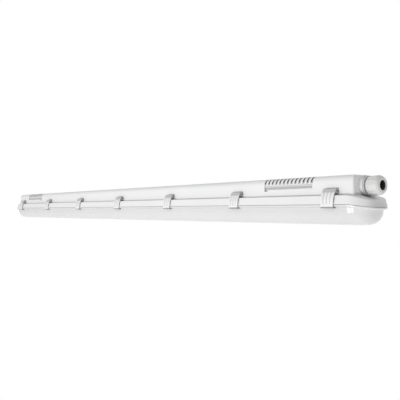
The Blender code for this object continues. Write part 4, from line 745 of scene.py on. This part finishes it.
def nutRing(radius, x, depth=0.0):
    n = nutShape
    ring = []
    for step in range(n["steps"]):
        angle = 2 * math.pi * step / n["steps"]
        wave = 0.5 * (1 - math.cos(n["lobes"] * angle))
        reach = radius - depth * wave ** n["lobeBend"]
        ring.append(Vector((x, reach * math.cos(angle), reach * math.sin(angle))))
    return ring


def makeNut():
    n = nutShape
    length, depth, lip, bendIn = n["length"], n["lobeDepth"], n["lip"], n["bendIn"]
    shoulder = length - n["round"]
    wallBack = length - n["frontWall"]
    chamfer = n["radius"] - n["backRadius"]
    rings = [nutRing(n["bore"], 0), nutRing(n["backRadius"] - chamfer, 0),
             nutRing(n["backRadius"] - chamfer * bendIn, chamfer * n["bendAlong"], depth / 2),
             nutRing(n["backRadius"], chamfer, depth), nutRing(n["radius"], shoulder - chamfer, depth)]
    for step in range(1, n["noseSteps"] + 1):
        angle = math.radians(90) * step / n["noseSteps"]
        radius = n["frontRadius"] + (n["radius"] - n["frontRadius"]) * math.cos(angle)
        fade = max(0.0, 1 - step / n["lobeFade"])
        rings.append(nutRing(radius, shoulder + n["round"] * math.sin(angle), depth * fade))
    rings += [nutRing(n["hole"] + lip, length), nutRing(n["hole"] + lip * bendIn, length - lip * bendIn),
              nutRing(n["hole"], length - lip), nutRing(n["hole"], wallBack),
              nutRing(n["sealRoom"], wallBack), nutRing(n["sealRoom"], n["boreStep"]),
              nutRing(n["bore"], n["boreStep"])]
    mesh = lofted("domeNut", rings, closed=True)
    smoothed(mesh, n["sharpFrom"])
    matrix = Matrix.Translation((n["x"], 0, n["z"]))
    placed("domeNut", mesh, "gland", "gland_nut", ["gland_nut"], matrix)


makeNut()
print("dome nut made")


# Studio: a pale floor well below, a white surround that is a little dimmer as light, and one softbox
studio = {
    "floorZ": -2.4, "floorSize": 40.0, "floorRoughness": 0.9, "floorColour": (0.9, 0.9, 0.9),
    "white": (1.0, 1.0, 1.0), "light": 0.73, "dimAbove": 0.30, "dimGlandEnd": 0.12,
    "softboxPlace": (0.365, -1.9, -0.45), "softboxAim": (0.365, 0.0, -0.05), "softboxSize": (1.33, 0.55),
    "softboxPower": 14.5,
}


def seenRay(shader):  # 1 for what the camera sees itself, in gloss or through glass
    names = ("Is Camera Ray", "Is Glossy Ray", "Is Transmission Ray")
    straight, gloss, glass = [shader.add("ShaderNodeLightPath", output=name) for name in names]
    return straight.larger(gloss).larger(glass)


def makeSurround():
    world = bpy.data.worlds.new("studio")
    bpy.context.scene.world = world
    world.use_nodes = True
    shader = Shader(world.node_tree)
    back = world.node_tree.nodes["Background"]
    back.inputs["Color"].default_value = rgba(studio["white"])
    direction = shader.add("ShaderNodeTexCoord", output="Generated")
    east, up = shader.part(direction, "X"), shader.part(direction, "Z")
    dim = studio["light"] - east * studio["dimGlandEnd"] - up * studio["dimAbove"]
    seen = seenRay(shader)
    shader.feed(back.inputs["Strength"], seen + (1 - seen) * dim)


def makeFloor():
    half = studio["floorSize"] / 2
    built = bmesh.new()
    corners = ((-half, -half), (half, -half), (half, half), (-half, half))
    built.faces.new([built.verts.new((x, y, studio["floorZ"])) for x, y in corners])
    floor = bpy.data.objects.new("floor", meshFrom("floor", built))
    bpy.context.scene.collection.objects.link(floor)
    made, shader, surface = newFinish("floor paper", studio["floorRoughness"])
    surface.inputs["Base Color"].default_value = rgba(studio["floorColour"])
    paper = Wire(shader, surface.outputs[0])
    glow = shader.add("ShaderNodeEmission", {}, {"Color": rgba(studio["white"]), "Strength": 1.0})
    both = shader.add("ShaderNodeMixShader", {}, {0: seenRay(shader), 1: paper, 2: glow})
    shader.feed(made.node_tree.nodes["Material Output"].inputs["Surface"], both)
    floor.data.materials.append(made)
    floor.visible_diffuse = False


def makeSoftbox():
    lamp = bpy.data.lights.new("softbox", "AREA")
    lamp.shape = "RECTANGLE"
    lamp.size, lamp.size_y = studio["softboxSize"]
    lamp.energy = studio["softboxPower"]
    holder = bpy.data.objects.new("softbox", lamp)
    bpy.context.scene.collection.objects.link(holder)
    holder.location = studio["softboxPlace"]
    aim = Vector(studio["softboxAim"]) - Vector(studio["softboxPlace"])
    holder.rotation_euler = aim.to_track_quat("-Z", "Y").to_euler()
    holder.visible_camera = False


makeSurround()
makeFloor()
makeSoftbox()
print("studio made")


# Camera, level with the fixture and near its gland end
cameraSet = {"place": (1.2640, -0.7503, -0.0573), "yaw": 52.339, "pitch": 1.108, "focal": 561.3,
             "frameWidth": 400, "sensor": 36.0, "nearest": 0.01, "farthest": 50.0}


def makeCamera():
    c = cameraSet
    lens = bpy.data.cameras.new("camera")
    lens.sensor_width = c["sensor"]
    lens.lens = c["focal"] / c["frameWidth"] * c["sensor"]
    lens.clip_start, lens.clip_end = c["nearest"], c["farthest"]
    camera = bpy.data.objects.new("camera", lens)
    bpy.context.scene.collection.objects.link(camera)
    camera.location = c["place"]
    camera.rotation_euler = (math.radians(90 + c["pitch"]), 0, math.radians(c["yaw"]))
    bpy.context.scene.camera = camera


makeCamera()
bpy.context.scene.view_settings.view_transform = "Standard"
